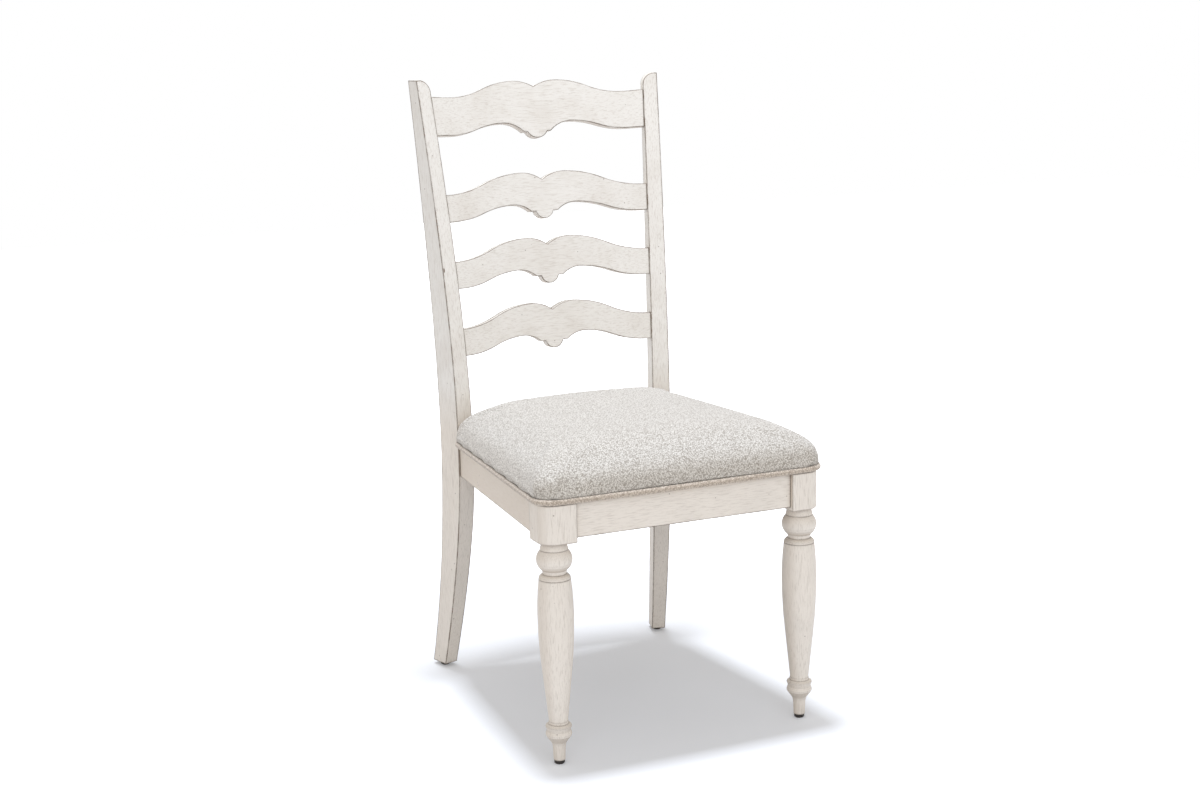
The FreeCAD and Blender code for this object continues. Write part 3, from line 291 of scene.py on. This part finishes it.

# %% [markdown]
# The finish is put on in the painter's own order: paint, then each place where glaze stayed, then
# the marks. Some layers are painted shade rather than glaze: the darker undersides and faces towards
# either side, and in part the darker, warmer paint below the seat. Every layer is a tone and a share
# from 0 to 1. A value decides the share: the height, the noise of the grain, the way a face looks, or
# how much of the sky a corner sees. The arris shows where the normal of a softly bevelled edge leaves
# the normal of the face.

# %% Glazed milk paint


def painted_wood(name, grain, side_shade, joint_glaze, arris_edge, arris_glaze):
    """Glazed milk paint whose strokes run along the X, Y or Z axis.

    The painted shade on faces towards either side, and the glaze in joints and on arrises, are given
    as shares from 0 to 1. The arris line is wider for an arris_edge nearer to 1.
    """
    material, tree = new_material(name)
    place = add(tree, "TexCoord").outputs["Object"]
    height = add(tree, "SeparateXYZ", {"Vector": place}).outputs["Z"]
    stretch = [1 / GRAIN_STRETCH if axis == grain else 1 for axis in "XYZ"]
    along = add(tree, "Mapping", {"Vector": place, "Scale": stretch}).outputs[0]
    strokes = add(tree, "TexNoise", {"Vector": along, "Scale": per_mm(GRAIN_WIDTH), "Detail": 4,
                                     "Roughness": 0.7}).outputs["Fac"]
    clouds = add(tree, "TexNoise", {"Vector": place, "Scale": per_mm(CLOUD_SIZE),
                                    "Detail": 4}).outputs["Fac"]

    straight = add(tree, "NewGeometry").outputs["Normal"]
    looks = add(tree, "SeparateXYZ", {"Vector": straight}).outputs
    sideways = add(tree, "Math", {0: looks["X"]}, operation="ABSOLUTE").outputs[0]
    rounded = add(tree, "Bevel", {"Radius": ARRIS}, samples=PROBES).outputs[0]
    facing = add(tree, "VectorMath", {0: rounded, 1: straight}, operation="DOT_PRODUCT").outputs["Value"]
    patches = add(tree, "TexNoise", {"Vector": place, "Scale": per_mm(BREAK_SIZE),
                                     "Detail": 3}).outputs["Fac"]
    broken = add(tree, "MapRange", {0: patches, 1: 0.36, 2: 0.62,
                                    3: 0.5 * arris_glaze, 4: arris_glaze}).outputs[0]
    corner = add(tree, "AmbientOcclusion", {"Distance": CORNER_REACH}, samples=PROBES).outputs["AO"]
    joint = add(tree, "AmbientOcclusion", {"Distance": JOINT_WIDTH}, samples=PROBES).outputs["AO"]

    layers = [
        # what decides, where the layer starts, where it is full, its share there, its tone
        # darker and warmer below the seat, partly painted shade under it
        (height, BELOW_SEAT_FROM, BELOW_SEAT_TO, 1.0, PAINT_BELOW_SEAT_SHADED),
        (clouds, 0.45, 0.75, 0.4, GLAZE_THIN),
        (strokes, 0.5, 0.66, 0.45, GLAZE_PORES),
        # painted shade on faces that look down
        (looks["Z"], -0.25, -0.8, 0.75, PAINTED_SHADE_UNDER),
        # painted shade on faces towards either side
        (sideways, 0.6, 0.95, side_shade, PAINTED_SHADE_SIDES),
        (facing, 0.997, arris_edge, broken, GLAZE_ARRIS),
        (corner, 0.78, 0.35, 0.55, GLAZE_CORNERS),
        (joint, 0.7, 0.3, joint_glaze, GLAZE_DEEP),
    ]
    coats = [(add(tree, "MapRange", {0: value, 1: start, 2: full, 4: most}).outputs[0], tone)
             for value, start, full, most, tone in layers]
    marks = age_marks(tree, place, stretch)
    paint = colour(PAINT)
    for share, tone in coats + marks:
        paint = add(tree, "Mix", {0: share, 6: paint, 7: colour(tone)}, data_type="RGBA").outputs[2]

    dents = strokes
    for share, tone in marks:
        dents = add(tree, "Math", {0: dents, 1: share}, operation="SUBTRACT").outputs[0]
    relief = add(tree, "Bump", {"Height": dents, "Distance": GRAIN_DEPTH, "Strength": 0.5,
                               "Normal": rounded})
    satin = add(tree, "MapRange", {0: strokes, 1: 0.3, 2: 0.7, 3: 0.42, 4: 0.62}).outputs[0]
    surface = add(tree, "BsdfPrincipled", {"Base Color": paint, "Roughness": satin, "IOR": VARNISH_IOR,
                                           "Normal": relief.outputs[0]})
    add(tree, "OutputMaterial", {"Surface": surface.outputs[0]})
    return material


# side_shade is painted shade on faces towards either side; the side rails get most, as shade under the
# seat's overhang
paint_across = painted_wood("milk_paint_on_slats", "X", side_shade=0.2, joint_glaze=0.85,
                            arris_edge=0.93, arris_glaze=1.0)
paint_side = painted_wood("milk_paint_on_side_rails", "Y", side_shade=0.8, joint_glaze=0.85,
                          arris_edge=0.93, arris_glaze=1.0)
paint_post = painted_wood("milk_paint_on_posts", "Z", side_shade=0.1, joint_glaze=0.5,
                          arris_edge=0.98, arris_glaze=1.0)
paint_turned = painted_wood("milk_paint_on_turned_legs", "Z", side_shade=0.35, joint_glaze=0.7,
                            arris_edge=0.93, arris_glaze=0.6)
print("painted wood:", paint_across.name, paint_side.name, paint_post.name, paint_turned.name)

# %% [markdown]
# Behind the paint the chair is plain: birch plywood under the cushion, bare beech corner blocks and
# dowels, steel screws and black plastic glides. They hardly show, but they are what a hand or a
# camera finds when the chair is turned over. Growth rings could be drawn as true rings round a tree's
# heart, but on such small pieces a noise stretched along the grain shows the same. The metal and the
# plastic are even, apart from faint clouds of a duller tone.

# %% Bare wood, plywood, steel and plastic
RING_STRETCH = 12


def bare_wood(name, light, dark, ring_width, grain):
    """Unfinished wood with growth lines stretched along its grain."""
    material, tree = new_material(name)
    place = add(tree, "TexCoord").outputs["Object"]
    stretch = [1 / RING_STRETCH if axis == grain else 1 for axis in "XYZ"]
    along = add(tree, "Mapping", {"Vector": place, "Scale": stretch}).outputs[0]
    rings = add(tree, "TexNoise", {"Vector": along, "Scale": per_mm(ring_width), "Detail": 5,
                                   "Distortion": 0.4}).outputs["Fac"]
    line = add(tree, "MapRange", {0: rings, 1: 0.35, 2: 0.7}).outputs[0]
    tone = add(tree, "Mix", {0: line, 6: colour(light), 7: colour(dark)}, data_type="RGBA").outputs[2]
    relief = add(tree, "Bump", {"Height": rings, "Distance": 0.0003, "Strength": 0.4})
    surface = add(tree, "BsdfPrincipled", {"Base Color": tone, "Roughness": 0.72,
                                           "Normal": relief.outputs[0]})
    add(tree, "OutputMaterial", {"Surface": surface.outputs[0]})
    return material


def mottled(name, light, dark, size, roughness, metallic=0.0):
    """A plain technical surface that varies a little in tone and dullness."""
    material, tree = new_material(name)
    place = add(tree, "TexCoord").outputs["Object"]
    patches = add(tree, "TexNoise", {"Vector": place, "Scale": per_mm(size), "Detail": 4}).outputs["Fac"]
    share = add(tree, "MapRange", {0: patches, 1: 0.35, 2: 0.7}).outputs[0]
    tone = add(tree, "Mix", {0: share, 6: colour(light), 7: colour(dark)}, data_type="RGBA").outputs[2]
    dull = add(tree, "MapRange", {0: patches, 1: 0.3, 2: 0.7, 3: roughness - 0.06, 4: roughness + 0.08})
    surface = add(tree, "BsdfPrincipled", {"Base Color": tone, "Roughness": dull.outputs[0],
                                           "Metallic": metallic})
    add(tree, "OutputMaterial", {"Surface": surface.outputs[0]})
    return material


# Beech is pinkish tan with fine even lines, and birch is paler with a broader figure.
beech = bare_wood("bare_beech", "#d9b58c", "#b98d62", ring_width=3.0, grain="X")
plywood = bare_wood("birch_plywood", "#dcc49c", "#c2a477", ring_width=5.0, grain="Y")
# Zinc plate is a cloudy pale grey metal. The moulded plastic is nearly black, with a soft shine.
steel = mottled("zinc_plated_steel", "#c9c8c4", "#a8a59e", size=3.0, roughness=0.34, metallic=1.0)
plastic = mottled("black_moulded_plastic", "#221d1a", "#342c27", size=2.0, roughness=0.45)
print("plain materials:", beech.name, plywood.name, steel.name, plastic.name)

# %% [markdown]
# The frame's pieces already have their true shapes, so a finish is all they need. A new shell could
# be laid over each, but it would only double the surface. Putting the material into the piece's own
# slots keeps one true mesh.

# %% Give every wooden and hidden piece its finish


def finish(material, *names):
    """The named pieces of the frame get this material in all their slots."""
    for name in names:
        piece = NODES[name]
        for slot in piece.material_slots:
            slot.material = material
        if not piece.material_slots:
            piece.data.materials.append(material)


finish(paint_turned, "front_leg_left", "front_leg_right")
finish(paint_post, "rear_post_left", "rear_post_right")
finish(paint_across, "lower_slat", "middle_slat", "upper_slat", "top_slat", "front_rail", "rear_rail")
finish(paint_side, "side_rail_left", "side_rail_right")
finish(beech, "corner_block_front_left", "corner_block_front_right", "corner_block_rear_left",
       "corner_block_rear_right", "rail_dowels")
finish(plywood, "seat_board")
finish(steel, "corner_block_screws", "seat_screws")
finish(plastic, "glide_front_left", "glide_front_right", "glide_rear_left", "glide_rear_right")
print("finished", sum(1 for node in NODES.values() if node.material_slots), "frame pieces")

# %% [markdown]
# The seat is covered with a nubby woven cloth: uneven yarns in off-white, oatmeal and grey, about
# two millimetres apart. Seen from a few metres it reads as a fine, slightly dark speckle on a pale
# ground. Two crossed waves could draw a warp and a weft, but the real yarns are so uneven that no
# rows show. So random cells of yarn size are used: the middle of a cell is a pale nub, and its rim
# is the darker gap between yarns. Finer noise gives the fibres, and the height of the nubs gives the
# relief. Shade is painted into the cloth: it is darker in the crease at its seam, and its upright
# sides are a little darker and warmer than its top. It also has a faint sheen, because loose fibres
# catch the light at a grazing angle.

# %% Nubby woven upholstery cloth
YARN = 2.2                  # millimetres, as fine as the nubs can be and still show in the picture
FIBRE = 0.45                # the fibres' size as a share of the nub's
NUB_TURN = (0.6, 0.5, 0.3)  # keeps the cells off the directions of the seat, so that no rows show
NUB_DISORDER = 0.85
NUB_HEIGHT = 0.0006
CREASE = 0.004              # metres from the seam to where its shade ends
UPRIGHT_SHADE = "#f4efe8"         # upright cloth is painted a little darker and warmer, as shade on the cushion's sides


def woven_cloth(name, pale, middle, dark, nub=YARN):
    """A nubby weave of pale nubs, a middle tone and the dark gaps between the yarns."""
    material, tree = new_material(name)
    place = add(tree, "TexCoord").outputs["Object"]
    turned = add(tree, "Mapping", {"Vector": place, "Rotation": NUB_TURN}).outputs[0]
    nubs = add(tree, "TexVoronoi", {"Vector": turned, "Scale": per_mm(nub),
                                    "Randomness": NUB_DISORDER})
    chance = add(tree, "SeparateColor", {"Color": nubs.outputs["Color"]}).outputs["Red"]
    # A little of each cell's random number goes into the distance from its middle, so nubs differ.
    size = add(tree, "MapRange", {0: chance, 3: -0.1, 4: 0.1}).outputs[0]
    reach = add(tree, "Math", {0: nubs.outputs["Distance"], 1: size}, operation="ADD").outputs[0]
    nubbed = add(tree, "MapRange", {0: reach, 1: 0.5, 2: 0.15}).outputs[0]
    gap = add(tree, "MapRange", {0: reach, 1: 0.42, 2: 0.72}).outputs[0]
    tone = add(tree, "Mix", {0: nubbed, 6: colour(middle), 7: colour(pale)}, data_type="RGBA").outputs[2]
    tone = add(tree, "Mix", {0: gap, 6: tone, 7: colour(dark)}, data_type="RGBA").outputs[2]

    fibres = add(tree, "TexNoise", {"Vector": place, "Scale": per_mm(FIBRE * nub),
                                    "Detail": 2}).outputs["Fac"]
    shaded = add(tree, "MapRange", {0: fibres, 1: 0.3, 2: 0.7, 3: 0.87, 4: 1.1}).outputs[0]
    # painted shade in the crease along the seam
    open_sky = add(tree, "AmbientOcclusion", {"Distance": CREASE}, samples=PROBES).outputs["AO"]
    crease = add(tree, "MapRange", {0: open_sky, 1: 0.3, 2: 0.75, 3: 0.45, 4: 1.0}).outputs[0]
    shaded = add(tree, "Math", {0: shaded, 1: crease}, operation="MULTIPLY").outputs[0]
    # painted shade: the more upright the cloth, the darker and warmer it is
    level = add(tree, "SeparateXYZ", {"Vector": add(tree, "NewGeometry").outputs["Normal"]}).outputs["Z"]
    upright = add(tree, "MapRange", {0: level, 1: 0.8, 2: 0.2}).outputs[0]
    tone = add(tree, "Mix", {0: upright, 6: tone, 7: colour(UPRIGHT_SHADE)}, data_type="RGBA",
               blend_type="MULTIPLY").outputs[2]
    tone = add(tree, "VectorMath", {0: tone, "Scale": shaded}, operation="SCALE").outputs[0]

    relief = add(tree, "Bump", {"Height": nubbed, "Distance": NUB_HEIGHT, "Strength": 0.6})
    roughness = add(tree, "MapRange", {0: chance, 3: 0.8, 4: 0.95}).outputs[0]
    surface = add(tree, "BsdfPrincipled", {"Base Color": tone, "Roughness": roughness,
                                           "Sheen Weight": 0.35, "Sheen Roughness": 0.45,
                                           "Normal": relief.outputs[0]})
    add(tree, "OutputMaterial", {"Surface": surface.outputs[0]})
    return material


seat_cloth = woven_cloth("oatmeal_woven_cloth", "#ebeae6", "#cfcdc9", "#a19c95")
# Cut on the bias and drawn round its cord, the same cloth looks warmer and a little coarser.
welt_cloth = woven_cloth("oatmeal_bias_piping", "#dfd7cd", "#cbc1b5", "#ab9f93", nub=2.6)
# The lining under the seat is thin, black and woven closer.
dust_cloth = woven_cloth("black_dust_cloth", "#2b2a2b", "#1f1e20", "#151416", nub=1.5)
print("yarn pitch %.1f mm" % YARN)

# %% [markdown]
# The seat in plan is a rounded trapezium. Its sides follow the splayed side rails, its front edge
# bows out a little and its rear edge bows back between the posts. A Bezier curve could be bent to
# it, but circles and lines give the exact outline at any distance inside the edge, which the cushion
# and its piping need. So one function draws two bows, two straight sides and four rounded corners.

# %% The seat's outline in plan
rail_spots = {(round(v.co.x, 5), round(v.co.y, 5)) for v in NODES["side_rail_right"].data.vertices}
RAIL_FRONT = Vector(max(rail_spots))            # outer face of the right side rail at the leg block
RAIL_REAR = Vector(max(rail_spots, key=sum))    # and at the rear post
WELT_LOW, WELT_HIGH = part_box("seat_welt")
OVERHANG = 0.0135                               # of the seat's edge past the side rails
FRONT_EDGE = WELT_LOW.y
REAR_EDGE = WELT_HIGH.y
FRONT_BOW = 0.0056
REAR_BOW = 0.033
FRONT_CORNER = 0.034
REAR_CORNER = 0.012
SPLAY = math.atan2(RAIL_FRONT.x - RAIL_REAR.x, RAIL_REAR.y - RAIL_FRONT.y)


def side_line(y, outwards=0.0):
    """X of the right side rail's outer face at y, or of a line that lies further out."""
    return RAIL_FRONT.x - (y - RAIL_FRONT.y) * math.tan(SPLAY) + outwards / math.cos(SPLAY)


def bow_radius(edge, bow):
    """Radius of a bow of this depth that ends on the side lines."""
    half = side_line(edge, OVERHANG)
    return (half ** 2 + bow ** 2) / (2 * bow)


def corner_centre(end, inset, end_inset, corner):
    """Centre of a right-hand corner, and its bow's middle and radius; end is -1 in front, 1 behind."""
    edge, bow = (FRONT_EDGE, FRONT_BOW) if end < 0 else (REAR_EDGE, REAR_BOW)
    radius = bow_radius(edge, bow)
    bow_y = edge - end * radius
    slope = math.tan(SPLAY)
    line_x = side_line(0, OVERHANG - inset - corner)
    span = radius - end_inset - corner
    middle = line_x * slope + bow_y
    under_root = middle ** 2 - (1 + slope ** 2) * (line_x ** 2 + bow_y ** 2 - span ** 2)
    y = (middle + end * math.sqrt(under_root)) / (1 + slope ** 2)
    return Vector((line_x - slope * y, y)), bow_y, radius - end_inset


def seat_outline(inset, end_insets=None, opened=None, counts=(28, 14, 30)):
    """Points once round the seat, anticlockwise from the middle of the front edge.

    The counts are the points along half a bow, round a corner and along a side.
    """
    bow_count, corner_count, side_count = counts
    insets = {-1: inset, 1: inset} if end_insets is None else end_insets
    half = []
    for end, corner in ((-1, FRONT_CORNER), (1, REAR_CORNER)):
        corner = corner - inset if opened is None else corner + opened
        centre, bow_y, radius = corner_centre(end, inset, insets[end], corner)
        away = centre - Vector((0, bow_y))
        bow_angle = math.atan2(away.y, away.x)
        middle_angle = end * math.pi / 2
        bow = [middle_angle + (bow_angle - middle_angle) * i / bow_count for i in range(bow_count)]
        turn = [bow_angle + (SPLAY - bow_angle) * i / corner_count for i in range(corner_count + 1)]
        walk = [Vector((radius * math.cos(a), bow_y + radius * math.sin(a))) for a in bow]
        walk += [centre + corner * Vector((math.cos(a), math.sin(a))) for a in turn]
        half.append(walk)
    front, rear = half
    side = [front[-1].lerp(rear[-1], i / side_count) for i in range(1, side_count)]
    right_half = front + side + rear[::-1]
    return right_half + [Vector((-p.x, p.y)) for p in right_half[-2:0:-1]]


print("seat outline of", len(seat_outline(0)), "points, front corner radius", FRONT_CORNER)

# %% [markdown]
# The cushion is foam under batting and cloth, pulled down over a plywood board. Its sides stand
# nearly upright just above the piping, where the seam draws them in a little. They roll over into a
# full crown, and the top is almost level. The form is built from rings of the outline, each higher
# and further in. The corners of the rings open out as they rise, as cloth does when it is pulled
# over a corner.

# %% Crowned cushion
COVER_LOW, COVER_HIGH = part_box("seat_cover")
SEAM_HEIGHT = COVER_LOW.z - 0.002                   # the cloth is drawn down onto the piping
CROWN_HEIGHT = COVER_HIGH.z - SEAM_HEIGHT - 0.005    # tension adds the rest
CROWN_REACH = 0.140         # from the seat's edge to where the crown is level
CROWN_FULLNESS = 3.1        # higher makes the sides more upright
TUCK = 0.0025               # how far the seam draws the sides in, up to a third of their height
DOME = 0.003                # the middle stands this much above the crown's shoulder
SIDE_RINGS = 22
TOP_RINGS = 8
REAR_DRAW = 0.75            # the crown rolls in less at the rear
CORNER_OPENING = 0.3        # how much rounder a corner gets for each metre that the ring lies in


def crown_inset(level):
    """How far in the cushion's side lies at a share of its height."""
    roll = CROWN_REACH * (1 - math.sqrt(1 - level ** CROWN_FULLNESS))
    return roll + TUCK * max(0.0, 1 - 3 * level) ** 2


def mesh_piece(name, vertices, faces, material):
    """A smooth mesh object with one material."""
    mesh = bpy.data.meshes.new(name)
    mesh.from_pydata(vertices, [], faces)
    mesh.materials.append(material)
    for face in mesh.polygons:
        face.use_smooth = True
    made = bpy.data.objects.new(name, mesh)
    SCENE.collection.objects.link(made)
    return made


def ring_faces(rings, count):
    """Quads between neighbouring rings of as many points."""
    return [(r * count + i, r * count + (i + 1) % count,
             (r + 1) * count + (i + 1) % count, (r + 1) * count + i)
            for r in range(rings - 1) for i in range(count)]


def cushion():
    """The cushion's closed form: rings up its sides, smaller rings on top, and a flat underside."""
    levels = [math.sin(math.pi / 2 * i / SIDE_RINGS) for i in range(SIDE_RINGS + 1)]
    rings = []
    for level in levels:
        drawn = crown_inset(level)
        plan = seat_outline(drawn, {-1: drawn, 1: REAR_DRAW * drawn}, CORNER_OPENING * drawn)
        rings.append([(p.x, p.y, SEAM_HEIGHT + level * CROWN_HEIGHT) for p in plan])
    middle = Vector((0, sum(p[1] for p in rings[-1]) / len(rings[-1]), 0))
    top = rings[-1]
    for step in range(1, TOP_RINGS + 1):
        share = 1 - step / (TOP_RINGS + 1)
        rise = DOME * (1 - share ** 2)
        rings.append([(p[0] * share, middle.y + (p[1] - middle.y) * share, p[2] + rise) for p in top])
    count = len(top)
    vertices = [p for ring in rings for p in ring]
    faces = ring_faces(len(rings), count)
    vertices.append((0, middle.y, SEAM_HEIGHT + CROWN_HEIGHT + DOME))
    last = (len(rings) - 1) * count
    faces += [(last + i, last + (i + 1) % count, len(vertices) - 1) for i in range(count)]
    vertices.append((0, middle.y, SEAM_HEIGHT))
    faces += [((i + 1) % count, i, len(vertices) - 1) for i in range(count)]
    return mesh_piece("seat_form", vertices, faces, seat_cloth)


seat_form = cushion()
print("cushion form of", len(seat_form.data.vertices), "points")

# %% [markdown]
# A form drawn with rings is too regular for stuffing under cloth. Blender's cloth simulation gives
# it tension: the form is remeshed into even faces of a few millimetres, its underside is held by
# the board, and pressure from inside blows it out a little for some frames. How far a point may
# move is limited, so the seat stays in its outline. One subdivision smooths the result, and the
# simulation itself is taken off again.

# %% Cushion under tension
VOXEL = 0.0055                      # metres, about the size of a face
PRESSURE = 4.0
FRAMES = 20
MOST_SWELL = 0.006                  # metres that a point may move
HELD_BELOW = SEAM_HEIGHT + 0.006    # up to here the board holds the cloth


def settled(piece):
    """The piece's mesh with all its modifiers in it."""
    graph = bpy.context.evaluated_depsgraph_get()
    made = bpy.data.meshes.new_from_object(piece.evaluated_get(graph))
    piece.modifiers.clear()
    piece.data = made
    for face in made.polygons:
        face.use_smooth = True


def blow_up(piece):
    """Swell a cushion by cloth pressure, each point by no more than the limit."""
    before = [v.co.copy() for v in piece.data.vertices]
    held = piece.vertex_groups.new(name="held_by_the_board")
    held.add([i for i, spot in enumerate(before) if spot.z < HELD_BELOW], 1.0, "REPLACE")
    cloth = piece.modifiers.new("tension", "CLOTH")
    cloth.settings.use_pressure = True
    cloth.settings.uniform_pressure_force = PRESSURE
    cloth.settings.effector_weights.gravity = 0
    cloth.settings.vertex_group_mass = held.name
    cloth.point_cache.frame_start = 1
    cloth.point_cache.frame_end = FRAMES
    for moment in range(1, FRAMES + 1):
        SCENE.frame_set(moment)
    graph = bpy.context.evaluated_depsgraph_get()
    after = [v.co.copy() for v in piece.evaluated_get(graph).data.vertices]
    piece.modifiers.clear()
    piece.vertex_groups.clear()
    SCENE.frame_set(1)
    moved = 0.0
    for vertex, start, end in zip(piece.data.vertices, before, after):
        step = end - start
        limited = MOST_SWELL * (1 - math.exp(-step.length / MOST_SWELL))
        vertex.co = start + step.normalized() * limited
        moved = max(moved, limited)
    return moved


seat_cushion = seat_form
seat_cushion.name = "seat_cushion"
even = seat_cushion.modifiers.new("even_faces", "REMESH")
even.mode = "VOXEL"
even.voxel_size = VOXEL
settled(seat_cushion)
print("swelled by up to %.1f mm" % (blow_up(seat_cushion) * 1000))
seat_cushion.modifiers.new("rounder", "SUBSURF").levels = 1
settled(seat_cushion)
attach(seat_cushion, "root")
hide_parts("seat_cover", "seat_foam")
print("cushion of", len(seat_cushion.data.vertices), "points")

# %% [markdown]
# Piping hides the seam between cushion and rails. It is a cord wrapped in a strip of the same cloth,
# cut on the bias. A curve with a round bevel would do, but real piping puckers a little where the
# strip is drawn round the cord, so the tube is made ring by ring with a slightly uneven radius.

# %% Piping
WELT_RADIUS = 0.0055
WELT_HEIGHT = (WELT_LOW.z + WELT_HIGH.z) / 2
WELT_SIDES = 14
WELT_COUNTS = (90, 26, 120)  # points along half a bow, round a corner and along a side
PUCKER_PITCH = 0.009         # metres from one pucker to the next
PUCKER = 0.00022             # how much a pucker adds to the radius or takes from it
PUCKER_WANDER = 2            # how far the puckers leave their even spacing, in radians
DRIFTS_PER_METRE = 40
PUCKER_LEAN = 0.9            # turns the puckers off the outermost line of the piping


def piping():
    """A closed tube round the seat whose radius swells and shrinks a little."""
    plan = seat_outline(WELT_RADIUS, counts=WELT_COUNTS)
    count = len(plan)
    sides = WELT_SIDES
    vertices = []
    travelled = 0.0
    for i, spot in enumerate(plan):
        ahead = plan[(i + 1) % count] - plan[i - 1]
        outwards = Vector((ahead.y, -ahead.x)).normalized()
        travelled += (spot - plan[i - 1]).length
        drift = PUCKER_WANDER * noise.noise((travelled * DRIFTS_PER_METRE, 0, 0))
        swell = math.sin(travelled / PUCKER_PITCH * 2 * math.pi + drift)
        for k in range(sides):
            turn = 2 * math.pi * k / sides
            radius = WELT_RADIUS - PUCKER * (1 + swell * math.cos(turn + PUCKER_LEAN))
            flat = spot + outwards * radius * math.cos(turn)
            vertices.append((flat.x, flat.y, WELT_HEIGHT + radius * math.sin(turn)))
    faces = [(i * sides + k, ((i + 1) % count) * sides + k,
              ((i + 1) % count) * sides + (k + 1) % sides, i * sides + (k + 1) % sides)
             for i in range(count) for k in range(sides)]
    return mesh_piece("seat_piping", vertices, faces, welt_cloth)


seat_piping = piping()
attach(seat_piping, "root")
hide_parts("seat_welt")
print("piping of", len(seat_piping.data.vertices), "points")

# %% [markdown]
# Under the seat a thin black cloth keeps the dust in. It is stapled to the board between the corner
# blocks, so it is nearly flat and sags a few millimetres in the middle. A flat sheet could be dropped
# by the cloth simulation, but the sag is so small that a shallow bowl of rings shows the same.

# %% Dust cloth
CLOTH_SAG = 0.004
CLOTH_GAP = 0.0002    # from the top of the solid that the cloth stands for
CLOTH_RINGS = 12
EDGE_STEPS = 10
cloth_low, cloth_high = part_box("dust_cover")


def under_cloth():
    """A sheet with the outline of its solid, in rings that sag towards the middle."""
    node = NODES["dust_cover"]
    top = cloth_high.z
    corners = sorted({(round(v.co.x, 5), round(v.co.y, 5))
                      for v in node.data.vertices if v.co.z > top - 1e-4})
    centre = Vector((0, sum(y for x, y in corners) / len(corners)))
    corners.sort(key=lambda c: math.atan2(c[1] - centre.y, c[0] - centre.x))
    edge = []
    for i, corner in enumerate(corners):
        after = corners[(i + 1) % len(corners)]
        edge += [Vector(corner).lerp(Vector(after), k / EDGE_STEPS) for k in range(EDGE_STEPS)]
    vertices = []
    for r in range(CLOTH_RINGS):
        share = 1 - r / CLOTH_RINGS
        for spot in edge:
            p = centre.lerp(spot, share)
            vertices.append((p.x, p.y, top - CLOTH_GAP - CLOTH_SAG * (1 - share ** 2)))
    vertices.append((centre.x, centre.y, top - CLOTH_GAP - CLOTH_SAG))
    count = len(edge)
    faces = ring_faces(CLOTH_RINGS, count)
    last = (CLOTH_RINGS - 1) * count
    faces += [(last + i, last + (i + 1) % count, len(vertices) - 1) for i in range(count)]
    return mesh_piece("dust_cloth", vertices, faces, dust_cloth)


dust_piece = under_cloth()
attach(dust_piece, "root")
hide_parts("dust_cover")
